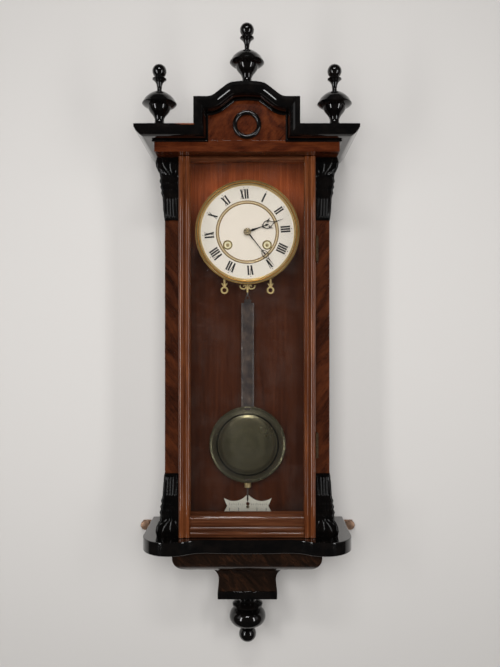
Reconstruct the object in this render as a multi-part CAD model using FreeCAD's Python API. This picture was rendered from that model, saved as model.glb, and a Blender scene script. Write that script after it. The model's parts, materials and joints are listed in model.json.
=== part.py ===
import FreeCAD
import Part
import math
import os

# Pendulum wall clock with an overhanging crown, a glazed door and a spring movement.
# Millimetres.  X to the right, depth d measured out from the wall (y = -d), Z up.
# Heights are counted from the top of the shelf and moved to the hanging hole at export.

# ---- driving sizes: case ----
case_half_width = 136.0
case_depth = 113.0
case_height = 621.0
side_thickness = 12.0
stile_width = 36.0
stile_thickness = 14.0
back_thickness = 14.0
back_above = 29.0
window_margin = 16.0
window_bottom = 40.0
window_head = 36.0
rebate = 4.0
pane_thickness = 2.0
pane_clearance = 0.3

# ---- driving sizes: crown ----
crown_half_width = 147.3
crown_reach = 44.0
frieze_height = 18.0
frieze_thickness = 9.0
soffit_thickness = 8.0
moulding_width = 21.5
moulding_projection = 28.0
bead_width = 4.0
fillet_width = 6.0
moulding_rise = 15.0
block_size = 26.0

# ---- driving sizes: pediment ----
pediment_half_width = 82.7
shoulder_rise = 42.0
arch_rise = 23.7
arch_crown_radius = 150.0
arch_crown_angle = 8.0
arch_turn_radius = 26.0
arch_slope = 38.0
arch_foot_radius = 20.0
tympanum_thickness = 14.0
tympanum_inset = 1.5
ring_rise = 42.0
ring_outer = 22.8
ring_inner = 15.5
ring_depth = 6.0

# ---- driving sizes: finials ----
finial_setback = 5.0
finial_inset = 7.8
finial_ball = 11.3
finial_widest = 27.4
finial_foot = 12.5
finial_collar = 11.2
finial_neck = 7.0
finial_height = 104.0

# ---- driving sizes: corbels ----
corbel_height = 102.0
corbel_reach = 14.5
corbel_front_reach = 11.0
corbel_wrap = 25.0
ripple_start = 33.5
ripple_pitch = 9.5
ripple_rise = 1.3
ripple_lean = 0.9

# ---- driving sizes: shelf, console and drop ----
shelf_overhang = 36.0
shelf_thickness = 22.0
shelf_lobe_reach = 45.6
shelf_centre_reach = 31.0
shelf_waist_reach = 28.0
lobe_inset = 47.0
console_half_width = 122.0
console_reach = 18.0
console_flat_half = 62.0
console_flat_depth = 98.0
neck_half_width = 48.5
neck_depth = 84.0
console_bowl_drop = 28.0
console_height = 82.0
plate_height = 10.0
drop_depth = 50.0
drop_bulb = 32.0
drop_ball = 15.0
drop_length = 90.0

# ---- driving sizes: door ----
door_half_width = 111.5
door_gap = 0.5
door_thickness = 21.5
door_bottom = 1.0
door_top_gap = 1.0
door_stile_width = 19.2
door_foot_rail = 39.5
sight_bevel = 6.2
door_head_rail = 7.0
door_flat = 17.5
reed_width = 8.6
glass_thickness = 2.2
glass_seat = 6.0
hinge_stand_out = 2.2
hinge_setback = 5.0
knuckle_radius = 2.2
hinge_pin_radius = 1.1
hinge_length = 40.0
hinge_low = 150.0
hinge_high_drop = 151.0
leaf_thickness = 1.0
leaf_let_in = 10.0
leaf_clearance = 0.1
catch_height = 310.0
catch_radius = 3.0
running_fit = 0.05

# ---- driving sizes: dial and hands ----
dial_drop = 117.4
dial_back = 86.5
bezel_outer = 88.0
bezel_inner = 79.0
bezel_front = 94.5
chapter_inner = 53.5
centre_radius = 47.7
dial_thickness = 2.0
dial_foot_x = 40.0
dial_foot_rise = 44.0
dial_foot_drop = 46.0
dial_foot_radius = 2.0
winding_x = 33.2
winding_drop = 21.6
grommet_outer = 8.1
grommet_inner = 5.4
hour_hand_length = 63.8
minute_hand_length = 73.5
hour_hand_angle = 70.0
minute_hand_angle = 141.6

# ---- driving sizes: movement ----
plate_half_width = 50.0
plate_below = 56.0
plate_above = 60.0
back_plate_depth = 52.0
front_plate_depth = 80.0
plate_thickness = 2.0
pillar_radius = 3.5
pillar_x = 44.0
pillar_above = 54.0
arbor_radius = 0.9
wheel_thickness = 1.6
train_module = 0.8
third_module = 0.55
escape_module = 0.5
motion_module = 0.5
barrel_teeth = 52
intermediate_leaves = 8
intermediate_teeth = 50
centre_leaves = 10
centre_teeth = 64
third_leaves = 8
third_teeth = 70
escape_leaves = 6
escape_teeth = 30
cannon_teeth = 12
minute_teeth = 36
minute_leaves = 10
hour_teeth = 40
drum_radius = 19.0
winding_radius = 2.5
winding_square = 4.2
winding_end = 4.6
escape_radius = 10.0
suspension_rise = 46.4

# ---- driving sizes: pendulum ----
pendulum_depth = 43.0
bob_height = 138.0
rod_width = 22.0
rod_thickness = 7.0
rod_top_drop = 164.0
rod_below_bob = 63.0
bob_radius = 66.9
bob_face_radius = 53.0
bob_half_thickness = 11.0
nut_radius = 6.0
nut_height = 8.0
pointer_drop = 101.0
leader_radius = 1.2
eye_radius = 4.0

# ---- driving sizes: bracket under the movement ----
bracket_half_width = 46.0
bracket_thickness = 8.0
arm_half = 4.5
pillar_drop = 50.0
seat_screw_x = 39.6
seat_screw_radius = 2.0
seat_ring_radius = 6.4
seat_ring_drop = 32.6
scroll_reach = 13.4
scroll_tail = 9.0
wing_reach = 5.4
scroll_drop = 27.6
scroll_back = 65.5
scroll_front = 68.5

# ---- driving sizes: gong and hammer ----
gong_start = 10.0
gong_growth = 2.6
gong_wire = 2.2
gong_turns = 4
gong_depth = 20.0
gong_drop = 34.0
gong_post_radius = 5.0
hammer_pivot_x = -22.0
hammer_pivot_drop = 49.0
hammer_arm = 2.0
hammer_plate_gap = 3.0
hammer_rest_gap = 1.5
hammer_head_radius = 4.5

# ---- driving sizes: back of the case ----
hanger_rise = 11.0
hanger_bore = 5.0
hanger_plate_thickness = 2.5
hanger_plate_half = 30.0
hanger_plate_rise = 12.0
scale_half_width = 43.0
scale_above = 7.0
scale_below = 26.0
scale_notch = 6.2
scale_hole_drop = 10.4
scale_hole_radius = 3.2
steady_stand_out = 12.0
steady_height = -12.0
steady_screw_radius = 2.5
steady_head_radius = 8.5
steady_screw_length = 17.2
steady_head_length = 7.2
steady_plate_overlap = 14.0
steady_plate_end = 6.0
steady_plate_half = 6.0
steady_plate_thickness = 2.4
steady_boss_length = 8.0
plate_wall_gap = 0.2

# ---- places that follow from the sizes above ----
back_height = case_height + back_above
window_top = case_height - window_head
door_top = case_height - door_top_gap
door_back = case_depth + door_gap
door_front = door_back + door_thickness
hinge_axis_x = door_half_width + hinge_stand_out
hinge_axis_depth = door_front - hinge_setback
hinge_heights = (hinge_low, case_height - hinge_high_drop)
crown_face = case_depth + crown_reach
moulding_bottom = case_height + moulding_rise
moulding_top = moulding_bottom + moulding_width
pediment_shoulder = moulding_top + shoulder_rise
arch_top = pediment_shoulder + arch_rise
ring_height = case_height + ring_rise
finial_depth = crown_face - finial_setback
finial_side_x = crown_half_width - finial_inset
corbel_side = case_half_width + corbel_reach
corbel_front = case_depth + corbel_front_reach
corbel_back = case_depth - corbel_wrap
shelf_half_width = case_half_width + shelf_overhang
shelf_lobe_depth = case_depth + shelf_lobe_reach
shelf_centre_depth = case_depth + shelf_centre_reach
shelf_waist_depth = case_depth + shelf_waist_reach
console_depth = case_depth + console_reach
dial_height = case_height - dial_drop
suspension_height = dial_height + suspension_rise
rod_top = suspension_height - rod_top_drop
rod_bottom = bob_height - rod_below_bob
pointer_tip = bob_height - pointer_drop
hanger_height = case_height + hanger_rise
steady_x = shelf_half_width + steady_stand_out
shapes = {}


# ---- small helpers ----
def at(x, depth, z):
    return FreeCAD.Vector(x, -depth, z)


def block(x0, x1, d0, d1, z0, z1):
    return Part.makeBox(x1 - x0, d1 - d0, z1 - z0, at(x0, d1, z0))


def rod_out(x, z, d0, d1, radius):
    """A cylinder whose axis points out of the wall."""
    return Part.makeCylinder(radius, d1 - d0, at(x, d0, z), FreeCAD.Vector(0, -1, 0))


def rod_up(x, depth, z0, z1, radius):
    return Part.makeCylinder(radius, z1 - z0, at(x, depth, z0), FreeCAD.Vector(0, 0, 1))


def edges_from(points):
    """Edges through a list of points; a ("arc", middle, end) entry bends the edge."""
    edges = []
    last = points[0]
    for item in points[1:]:
        if isinstance(item, tuple) and item[0] == "arc":
            edges.append(Part.Arc(last, item[1], item[2]).toShape())
            last = item[2]
        else:
            edges.append(Part.LineSegment(last, item).toShape())
            last = item
    return edges


def face_from(points):
    edges = edges_from(points)
    return Part.Face(Part.Wire(edges))


def extrude_out(points, d0, d1):
    """An outline in the X-Z plane, given at depth 0, between two depths."""
    solid = face_from(points).extrude(FreeCAD.Vector(0, -(d1 - d0), 0))
    solid.translate(FreeCAD.Vector(0, -d0, 0))
    return solid


def extrude_across(points, x0, x1):
    """An outline in the depth-Z plane, given at x = 0, between two places across."""
    solid = face_from(points).extrude(FreeCAD.Vector(x1 - x0, 0, 0))
    solid.translate(FreeCAD.Vector(x0, 0, 0))
    return solid


def turned_up(points, x, depth, z):
    """A profile in the X-Z plane turned about an upright axis."""
    solid = face_from(points).revolve(FreeCAD.Vector(0, 0, 0), FreeCAD.Vector(0, 0, 1), 360)
    solid.translate(at(x, depth, z))
    return solid


def turned_out(rings, x, z):
    """(radius, depth) pairs turned about an axis that points out of the wall."""
    points = [at(radius, depth, 0) for radius, depth in rings]
    points.append(points[0])
    solid = face_from(points).revolve(FreeCAD.Vector(0, 0, 0), FreeCAD.Vector(0, 1, 0), 360)
    solid.translate(at(x, 0, z))
    return solid


def mirrored(shape):
    return shape.mirror(FreeCAD.Vector(0, 0, 0), FreeCAD.Vector(1, 0, 0))


def fused(parts):
    whole = parts[0].fuse(parts[1:]) if len(parts) > 1 else parts[0]
    return whole.removeSplitter()


def cut(shape, tools):
    return shape.cut(tools)


# ---- case ----
def make_backboard():
    board = block(-inside_x(), inside_x(), 0, back_thickness, 0, back_height)
    recess = hanger_block(leaf_clearance)
    pocket = rod_out(0, hanger_height, 0, 10.0, hanger_bore + 4.0)
    shapes["backboard"] = cut(board, [recess, pocket])


def inside_x():
    return case_half_width - side_thickness


def make_case_sides():
    """Glazed side and front stile, glued into one frame on each side."""
    stile_back = case_depth - stile_thickness
    side = block(-case_half_width, -inside_x(), 0, stile_back, 0, case_height)
    stile = block(-case_half_width, stile_width - case_half_width, stile_back, case_depth, 0, case_height)
    window = block(-case_half_width, -inside_x(), back_thickness + window_margin,
                   stile_back - window_margin, window_bottom, window_top)
    seat = block(-case_half_width + side_thickness / 2, -inside_x(),
                 back_thickness + window_margin - rebate, stile_back - window_margin + rebate,
                 window_bottom - rebate, window_top + rebate)
    frame = fused([side, stile])
    left = cut(frame, [window, seat])
    right = mirrored(left)
    catch_hole = rod_out(-catch_x(), catch_height, stile_back, case_depth, catch_radius + running_fit)
    shapes["case_side_left"] = cut(left, [catch_hole])
    leaf_slots = [case_leaf(z, leaf_clearance) for z in hinge_heights]
    shapes["case_side_right"] = cut(right, leaf_slots)
    pane_x = -case_half_width + side_thickness / 2
    pane = block(pane_x, pane_x + pane_thickness,
                 back_thickness + window_margin - rebate + pane_clearance,
                 stile_back - window_margin + rebate - pane_clearance,
                 window_bottom - rebate + pane_clearance, window_top + rebate - pane_clearance)
    shapes["side_glasses"] = Part.makeCompound([pane, mirrored(pane)])


def catch_x():
    return door_half_width - 6.0


def case_leaf(z, room=0.0):
    """The case leaf of a hinge, let into a slot in the stile; with room, the slot itself."""
    half = hinge_length / 2
    inner = hinge_axis_x + leaf_thickness
    return block(inner - room, inner + leaf_thickness + room, case_depth - leaf_let_in - room,
                 hinge_axis_depth, z - half - room, z - leaf_clearance * 2 + room)


# ---- crown ----
def make_crown_box():
    """Soffit, frieze boards and corner blocks of the crown, glued up as one box."""
    inner = crown_half_width - frieze_thickness
    board_top = moulding_top - 1.5
    soffit = block(-inner, inner, back_thickness, crown_face - frieze_thickness,
                   case_height, case_height + soffit_thickness)
    front = block(-crown_half_width, crown_half_width, crown_face - frieze_thickness, crown_face,
                  case_height, board_top)
    opening = block(-pediment_half_width + tympanum_inset, pediment_half_width - tympanum_inset,
                    crown_face - frieze_thickness, crown_face,
                    case_height + frieze_height, board_top)
    side = block(-crown_half_width, -inner, 0, crown_face - frieze_thickness, case_height, board_top)
    corner = block(-crown_half_width, block_size - crown_half_width, crown_face - block_size, crown_face,
                   case_height + soffit_thickness, moulding_top)
    boards = [soffit, cut(front, [opening]), side, mirrored(side)]
    shapes["crown_box"] = fused(boards + [corner, mirrored(corner)])


def moulding_profile():
    """Bead, cove and fillet: (across the face, out of the face) from the inner edge."""
    cove_end = moulding_width - fillet_width
    cove_low = bead_width + 1.5
    cove_high = moulding_projection - 1.0
    cove_mid = (bead_width + (cove_end - bead_width) * 0.2929,
                cove_low + (cove_high - cove_low) * 0.7071)
    return [(0, 0), (0, 1.5), ("arc", (bead_width / 2, 1.5 + bead_width * 0.45), (bead_width, 1.5)),
            (bead_width, cove_low), ("arc", cove_mid, (cove_end, cove_high)),
            (cove_end, moulding_projection), (moulding_width, moulding_projection),
            (moulding_width, 0), (0, 0)]


def placed_profile(place):
    """The moulding profile with each (across, out) pair put in space by place()."""
    points = []
    for item in moulding_profile():
        if item[0] == "arc":
            points.append(("arc", place(*item[1]), place(*item[2])))
        else:
            points.append(place(*item))
    return face_from(points)


def half_space(origin, outward):
    """A large block on the far side of a plane, for mitre cuts."""
    size = 4000.0
    slab = Part.makeBox(size, size, size, FreeCAD.Vector(-size / 2, -size / 2, 0))
    turn = FreeCAD.Rotation(FreeCAD.Vector(0, 0, 1), outward)
    slab.Placement = FreeCAD.Placement(origin, turn)
    return slab


def make_cornices():
    """Front moulding of each side with its return to the wall, mitred at the corner."""
    corner_x = crown_half_width
    front = placed_profile(lambda w, p: at(-corner_x - 60, crown_face + p, moulding_bottom + w))
    front = front.extrude(FreeCAD.Vector(corner_x + 60 - pediment_half_width + moulding_width, 0, 0))
    outer_mitre = half_space(at(-corner_x, crown_face, 0), FreeCAD.Vector(-1, 1, 0))
    inner_mitre = half_space(at(-pediment_half_width, 0, moulding_top), FreeCAD.Vector(1, 0, 1))
    front = cut(front, [outer_mitre, inner_mitre])
    back = placed_profile(lambda w, p: at(-corner_x - p, 0, moulding_bottom + w))
    back = back.extrude(FreeCAD.Vector(0, -crown_face - 60, 0))
    back = cut(back, [half_space(at(-corner_x, crown_face, 0), FreeCAD.Vector(1, -1, 0))])
    left = Part.makeCompound([front, back])
    shapes["cornice_left"] = left
    shapes["cornice_right"] = mirrored(left)


def arch_edges(inset, left_to_right=True):
    """Outer line of the pediment top from the shoulder's end to the middle, moved inwards."""
    crown_r = arch_crown_radius - inset
    turn_r = arch_turn_radius - inset
    foot_r = arch_foot_radius + inset
    a0 = math.radians(arch_crown_angle)
    a1 = math.radians(arch_slope)
    crown_z = arch_top - arch_crown_radius
    reach = arch_crown_radius - arch_turn_radius
    turn_x = reach * math.sin(a0)
    turn_z = crown_z + reach * math.cos(a0)
    drop = turn_z + arch_turn_radius * math.cos(a1) - pediment_shoulder
    bend = arch_foot_radius * (1 - math.cos(a1))
    run = (drop - bend) / math.tan(a1)
    flank_x = turn_x + arch_turn_radius * math.sin(a1) + run
    foot_x = flank_x + arch_foot_radius * math.sin(a1)
    foot_z = pediment_shoulder + arch_foot_radius

    def on(cx, cz, radius, angle):
        return at(cx + radius * math.sin(angle), 0, cz + radius * math.cos(angle))

    top = on(0, crown_z, crown_r, 0)
    join = on(0, crown_z, crown_r, a0)
    turn_end = on(turn_x, turn_z, turn_r, a1)
    flank_end = on(foot_x, foot_z, foot_r, math.pi + a1)
    foot_end = on(foot_x, foot_z, foot_r, math.pi)
    return [top, ("arc", on(0, crown_z, crown_r, a0 / 2), join),
            ("arc", on(turn_x, turn_z, turn_r, (a0 + a1) / 2), turn_end), flank_end,
            ("arc", on(foot_x, foot_z, foot_r, math.pi + a1 / 2), foot_end)]


def make_pediment_moulding():
    """Two uprights and two arch halves, mitred at the shoulders and at the middle."""
    outer = pediment_half_width
    inner = outer - moulding_width
    upright = placed_profile(lambda w, p: at(inner + w, crown_face + p, moulding_bottom - 5))
    upright = upright.extrude(FreeCAD.Vector(0, 0, pediment_shoulder - moulding_bottom + 10))
    foot_mitre = half_space(at(outer, 0, moulding_top), FreeCAD.Vector(1, 0, -1))
    head_mitre = half_space(at(outer, 0, pediment_shoulder), FreeCAD.Vector(1, 0, 1))
    upright = cut(upright, [foot_mitre, head_mitre])
    line = arch_edges(moulding_width)
    line.append(at(outer + 5, 0, pediment_shoulder - moulding_width))
    spine = Part.Wire(edges_from(line))
    profile = placed_profile(lambda w, p: at(0, crown_face + p, arch_top - moulding_width + w))
    spine.translate(FreeCAD.Vector(0, -crown_face, 0))
    arch = spine.makePipeShell([profile.OuterWire], True, False)
    arch = cut(arch, [half_space(at(outer, 0, pediment_shoulder), FreeCAD.Vector(1, 0, -1))])
    half = [upright, arch]
    shapes["pediment_moulding"] = Part.makeCompound(half + [mirrored(piece) for piece in half])


def make_tympanum():
    side = pediment_half_width - tympanum_inset
    foot = case_height + frieze_height
    line = arch_edges(tympanum_inset)
    shoulder = pediment_shoulder - tympanum_inset
    points = line + [at(side, 0, shoulder), at(side, 0, foot), at(0, 0, foot), line[0]]
    half = extrude_out(points, crown_face - tympanum_thickness, crown_face)
    shapes["tympanum"] = fused([half, mirrored(half)])


def make_ring_ornament():
    rings = [(ring_inner, crown_face), (ring_outer, crown_face),
             (ring_outer, crown_face + ring_depth * 0.4),
             (ring_outer - 2.0, crown_face + ring_depth * 0.9), (ring_outer - 3.6, crown_face + ring_depth),
             (ring_inner + 2.0, crown_face + ring_depth * 0.8), (ring_inner, crown_face + ring_depth * 0.4)]
    shapes["ring_ornament"] = turned_out(rings, 0, ring_height)


# ---- turned finials ----
def ball_on_neck(radius, centre, neck):
    """Start on the neck, then one arc over a ball to its pole on the axis (or under it)."""
    up = 1 if radius > 0 else -1
    radius = abs(radius)
    low = math.asin(neck / radius)
    swing = (math.pi - low) / 2
    start = at(neck, 0, centre - up * radius * math.cos(low))
    middle = at(radius * math.sin(low + swing), 0, centre - up * radius * math.cos(low + swing))
    return [start, ("arc", middle, at(0, 0, centre + up * radius))]


def finial_shape():
    def p(radius, height):
        return at(radius, 0, height)

    foot_top = [p(0, 0), p(finial_foot, 0), p(finial_foot, 2.5), ("arc", p(8.6, 8.5), p(7.4, 15.5))]
    cup = [("arc", p(9.2, 20.0), p(13.4, 25.5)), ("arc", p(16.6, 30.0), p(18.4, 35.2)),
           ("arc", p(23.2, 36.6), p(finial_widest, 40.0)), p(finial_widest, 41.2)]
    dome = [("arc", p(22.4, 49.5), p(14.0, 56.4)), p(12.8, 57.2), p(8.0, 57.4)]
    stem = [("arc", p(4.5, 61.0), p(4.0, 66.5)), ("arc", p(5.6, 73.5), p(finial_collar, 79.4)),
            p(finial_collar, 80.6), ("arc", p(8.4, 81.6), p(finial_neck, 83.6))]
    points = foot_top + cup + dome + stem
    ball = ball_on_neck(finial_ball, finial_height - finial_ball, finial_neck)
    points += ball + [p(0, 0)]
    return turned_up(points, 0, 0, 0)


def make_finials():
    base = finial_shape()
    places = {"finial_left": (-finial_side_x, moulding_top), "finial_centre": (0, arch_top),
              "finial_right": (finial_side_x, moulding_top)}
    for name, (x, z) in places.items():
        piece = base.copy()
        piece.translate(at(x, finial_depth, z))
        shapes[name] = piece


# ---- corbels ----
def corbel_shape():
    """Upper right corbel: a scroll bracket that wraps the corner of the case."""
    top = case_height
    low = top - corbel_height
    inner = door_half_width + 1.0
    reach = corbel_side

    def p(x, z):
        return at(x, 0, z)

    front = [p(inner, top), p(reach - 1.5, top), ("arc", p(reach, top - 8.0), p(reach - 1.0, top - 15.0)),
             ("arc", p(reach - 3.6, top - 21.0), p(reach - 6.6, top - 26.0)),
             p(reach - 7.4, top - ripple_start)]
    for k in range(3):
        drop = ripple_start + (k + 0.5) * ripple_pitch
        away = 7.4 + (k + 0.5) * ripple_lean
        front.append(("arc", p(reach - away + ripple_rise, top - drop),
                      p(reach - away - ripple_lean / 2, top - drop - ripple_pitch / 2)))
    front += [p(reach - 11.0, top - 66.0),
              ("arc", p(reach - 12.0, top - 84.0), p(case_half_width - 2.0, low)),
              p(inner, low), p(inner, top)]
    thick = corbel_front - case_depth

    def q(depth, z):
        return at(0, depth, z)

    side = [q(corbel_back, top), q(corbel_front - 1.0, top), ("arc", q(corbel_front, top - 9.0),
            q(corbel_front - 2.0, top - 19.0)), q(corbel_front - 1.2, top - 24.0),
            ("arc", q(corbel_front - 1.5, top - 35.0), q(corbel_front - 0.35 * thick, top - 46.0)),
            ("arc", q(corbel_front - 0.5 * thick, top - 72.0), q(case_depth + 3.0, low)),
            q(corbel_back, low), q(corbel_back, top)]
    body = extrude_out(front, corbel_back, corbel_front).common(extrude_across(side, inner, reach + 1))
    corner = block(0, case_half_width, 0, case_depth, low - 1, top + 1)
    flank = [q(corbel_back + 2.0, top + 1),
             ("arc", q(corbel_back + 8.0, top - 50.0), q(case_depth - 6.0, low - 1)),
             q(0, low - 1), q(0, top + 1), q(corbel_back + 2.0, top + 1)]
    return cut(body, [corner, extrude_across(flank, case_half_width - 1, reach + 2)])


def make_corbels():
    upper = corbel_shape()
    lower = upper.mirror(FreeCAD.Vector(0, 0, case_height / 2), FreeCAD.Vector(0, 0, 1))
    shapes["corbel_upper_right"] = upper
    shapes["corbel_upper_left"] = mirrored(upper)
    shapes["corbel_lower_right"] = lower
    shapes["corbel_lower_left"] = mirrored(lower)


# ---- shelf, console and drop ----
def make_shelf():
    def p(x, depth):
        return at(x, depth, -shelf_thickness)

    w = shelf_half_width
    lobe = shelf_lobe_depth
    waist = shelf_waist_depth
    crest = w - lobe_inset
    half = [p(0, 0), p(w, 0), p(w, case_depth), ("arc", p(w - 11.0, lobe - 16.5), p(crest, lobe)),
            ("arc", p(crest - 13.0, lobe - 2.0), p(crest - 27.0, lobe - 8.2)),
            ("arc", p(crest - 41.0, waist + 2.6), p(crest - 59.0, waist)),
            ("arc", p(w / 5, (waist + shelf_centre_depth) / 2 + 0.9), p(0, shelf_centre_depth)), p(0, 0)]
    solid = face_from(half).extrude(FreeCAD.Vector(0, 0, shelf_thickness))
    whole = fused([solid, mirrored(solid)])
    reach = steady_stand_out + steady_plate_overlap + 4.0
    tall = steady_plate_half + 1.0
    deep = steady_plate_thickness + plate_wall_gap
    slots = [block(side * steady_x - reach, side * steady_x + reach, 0, deep,
                   steady_height - tall, steady_height + tall) for side in (-1, 1)]
    shapes["shelf"] = cut(whole, slots)


def console_profile(put, wide, flat, neck):
    """Half outline of the console: convex bowl, flat step, hollow neck and foot."""
    top = -shelf_thickness
    step = top - console_bowl_drop
    foot = top - console_height
    return [put(0, top), put(wide, top), put(wide, top - 3.0),
            ("arc", put(wide - (wide - flat) * 0.18, step + 9.0), put(flat + 24.0, step + 1.5)),
            put(flat, step), ("arc", put(neck + 3.0, step - 13.0), put(neck, step - 34.0)),
            put(neck + 2.0, foot), put(0, foot), put(0, top)]


def make_console():
    """Bowl and neck glued up under the shelf, the same moulded shape on three sides."""
    front = console_profile(lambda v, z: at(v, 0, z), console_half_width, console_flat_half, neck_half_width)
    side = console_profile(lambda v, z: at(0, v, z), console_depth, console_flat_depth, neck_depth)
    half = extrude_out(front, 0, console_depth).common(extrude_across(side, 0, console_half_width))
    shapes["console"] = fused([half, mirrored(half)])


def make_pendant():
    """Square plate with the turned drop below it."""
    top = -shelf_thickness - console_height
    low = top - plate_height
    reach = neck_half_width + 2.0
    plate = block(-reach, reach, 0, neck_depth + 3.0, low, top)

    def p(radius, height):
        return at(radius, 0, height)

    points = [p(0, 0.5), p(23.0, 0.5), p(23.0, -5.0), ("arc", p(17.0, -8.0), p(15.0, -15.0)),
              p(22.0, -17.0), p(26.5, -19.5), p(26.5, -22.0), p(21.0, -26.0),
              ("arc", p(drop_bulb, -41.0), p(19.0, -57.0)), p(10.0, -61.0)]
    points += ball_on_neck(-drop_ball, drop_ball - drop_length, 6.0) + [p(0, 0.5)]
    shapes["pendant"] = fused([plate, turned_up(points, 0, drop_depth, low)])


# ---- door ----
def reed_section(outer, inner):
    """Half section of a door member: (across, depth) from the outer to the inner edge."""
    flat = door_back + door_flat
    crest = door_front
    first = outer - reed_width - 0.8
    second = first - 1.2
    last = inner + 0.6
    seat = inner + rebate + 1.0
    seat_depth = door_back + glass_seat
    return [(seat, door_back), (outer, door_back), (outer, flat),
            ("arc", ((outer + first) / 2, crest), (first, flat)), (second, flat),
            ("arc", ((second + last) / 2, crest - 0.4), (last, flat)), (inner, flat - 0.8),
            (inner, seat_depth), (seat, seat_depth), (seat, door_back)]


def placed_section(section, place):
    points = []
    for item in section:
        if item[0] == "arc":
            points.append(("arc", place(*item[1]), place(*item[2])))
        else:
            points.append(place(*item))
    return face_from(points)


def make_door():
    inner = door_half_width - door_stile_width
    stile = placed_section(reed_section(door_half_width, inner), lambda a, d: at(a, d, door_bottom))
    stile = stile.extrude(FreeCAD.Vector(0, 0, door_top - door_bottom))
    leaf_seats = [block(door_half_width - leaf_thickness, door_half_width + 1, door_back,
                        hinge_axis_depth + leaf_clearance, z - hinge_length / 2 - leaf_clearance,
                        z + hinge_length / 2 + leaf_clearance)
                  for z in hinge_heights]
    knuckle_seats = [rod_up(hinge_axis_x, hinge_axis_depth, z - hinge_length / 2 - 0.3,
                            z + hinge_length / 2 + 0.3, knuckle_radius + 0.3) for z in hinge_heights]
    shapes["door_stile_right"] = cut(stile, leaf_seats + knuckle_seats)
    dimple = rod_out(-catch_x(), catch_height, door_back - 0.1, door_back + 3.0, catch_radius + 1.2)
    shapes["door_stile_left"] = cut(mirrored(stile), [dimple])

    low_inner = door_bottom + door_foot_rail
    rail = foot_rail_section(low_inner)
    rail = placed_section(rail, lambda a, d: at(-inner, d, a)).extrude(FreeCAD.Vector(2 * inner, 0, 0))
    shapes["door_rail_bottom"] = rail
    high_inner = door_top - door_head_rail
    head = head_rail_section(high_inner)
    head = placed_section(head, lambda a, d: at(-inner, d, a)).extrude(FreeCAD.Vector(2 * inner, 0, 0))
    shapes["door_rail_top"] = head
    glass_back = door_back + glass_seat - glass_thickness
    edge = rebate + 1.0 - pane_clearance
    shapes["door_glass"] = block(-inner - edge, inner + edge, glass_back, glass_back + glass_thickness,
                                 low_inner - edge, high_inner + edge)


def foot_rail_section(inner):
    """Bottom rail: two reeds, a flat, a small bead and a bevel that runs back to the glass."""
    flat = door_back + door_flat
    low = door_bottom
    seat = inner - rebate - 1.0
    shoulder = inner - sight_bevel
    bead = shoulder - 5.6
    return [(low, door_back), (low, flat), (low + 2.4, flat),
            ("arc", (low + 6.0, door_front - 0.2), (low + 9.6, flat)), (low + 10.6, flat),
            ("arc", (low + 14.4, door_front - 0.4), (low + 18.2, flat)), (low + 19.6, flat - 2.0),
            (bead, flat - 2.0), ("arc", (bead + 2.0, flat + 0.6), (bead + 4.0, flat - 1.6)),
            (shoulder, flat - 2.4), (inner, door_back + glass_seat + 1.2), (inner, door_back + glass_seat),
            (seat, door_back + glass_seat), (seat, door_back), (low, door_back)]


def head_rail_section(inner):
    flat = door_back + door_flat
    seat = inner + rebate + 1.0
    return [(door_top, door_back), (door_top, flat), (door_top - 1.0, flat),
            ("arc", ((door_top + inner) / 2, flat + 0.36 * door_head_rail), (inner + 0.8, flat)),
            (inner, flat - 0.8), (inner, door_back + glass_seat), (seat, door_back + glass_seat),
            (seat, door_back), (door_top, door_back)]


def make_hinges():
    """Case leaves in the stile, with knuckle and pin, and door leaves in the door's edge."""
    case_leaves = []
    door_leaves = []
    half = hinge_length / 2
    for z in hinge_heights:
        knuckle = rod_up(hinge_axis_x, hinge_axis_depth, z - half, z - 0.2, knuckle_radius)
        pin = rod_up(hinge_axis_x, hinge_axis_depth, z - half, z + half + 2.0, hinge_pin_radius)
        case_leaves.append(fused([case_leaf(z), knuckle, pin]))
        leaf = block(door_half_width - leaf_thickness, door_half_width, door_back + 0.2,
                     hinge_axis_depth - 1.2, z - half, z + half)
        tongue = block(door_half_width - leaf_thickness, hinge_axis_x - 0.4, hinge_axis_depth - 2.0,
                       hinge_axis_depth, z + 0.2, z + half)
        barrel = rod_up(hinge_axis_x, hinge_axis_depth, z + 0.2, z + half, knuckle_radius)
        bore = rod_up(hinge_axis_x, hinge_axis_depth, z - half - 1, z + half + 1,
                      hinge_pin_radius + running_fit)
        swing = rod_up(hinge_axis_x, hinge_axis_depth, z - half - 1, z, knuckle_radius + 0.2)
        door_leaves.append(cut(fused([leaf, tongue, barrel]), [bore, swing]))
    shapes["case_hinge_leaves"] = Part.makeCompound(case_leaves)
    dimple_radius = catch_radius - 0.6
    strike = rod_out(-catch_x(), catch_height, door_back, door_back + 3.0, catch_radius + 1.2)
    strike = cut(strike, [rod_out(-catch_x(), catch_height, door_back - 1, door_back + 1.4, dimple_radius)])
    shapes["door_fittings"] = Part.makeCompound(door_leaves + [strike])
    nose = door_back + 1.0
    tail = case_depth - stile_thickness + 1.0
    ball_catch = [(0, tail), (catch_radius, tail), (catch_radius, case_depth),
                  (dimple_radius - 0.6, case_depth + 0.4), (1.0, nose), (0, nose)]
    shapes["door_catch"] = turned_out(ball_catch, -catch_x(), catch_height)


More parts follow.
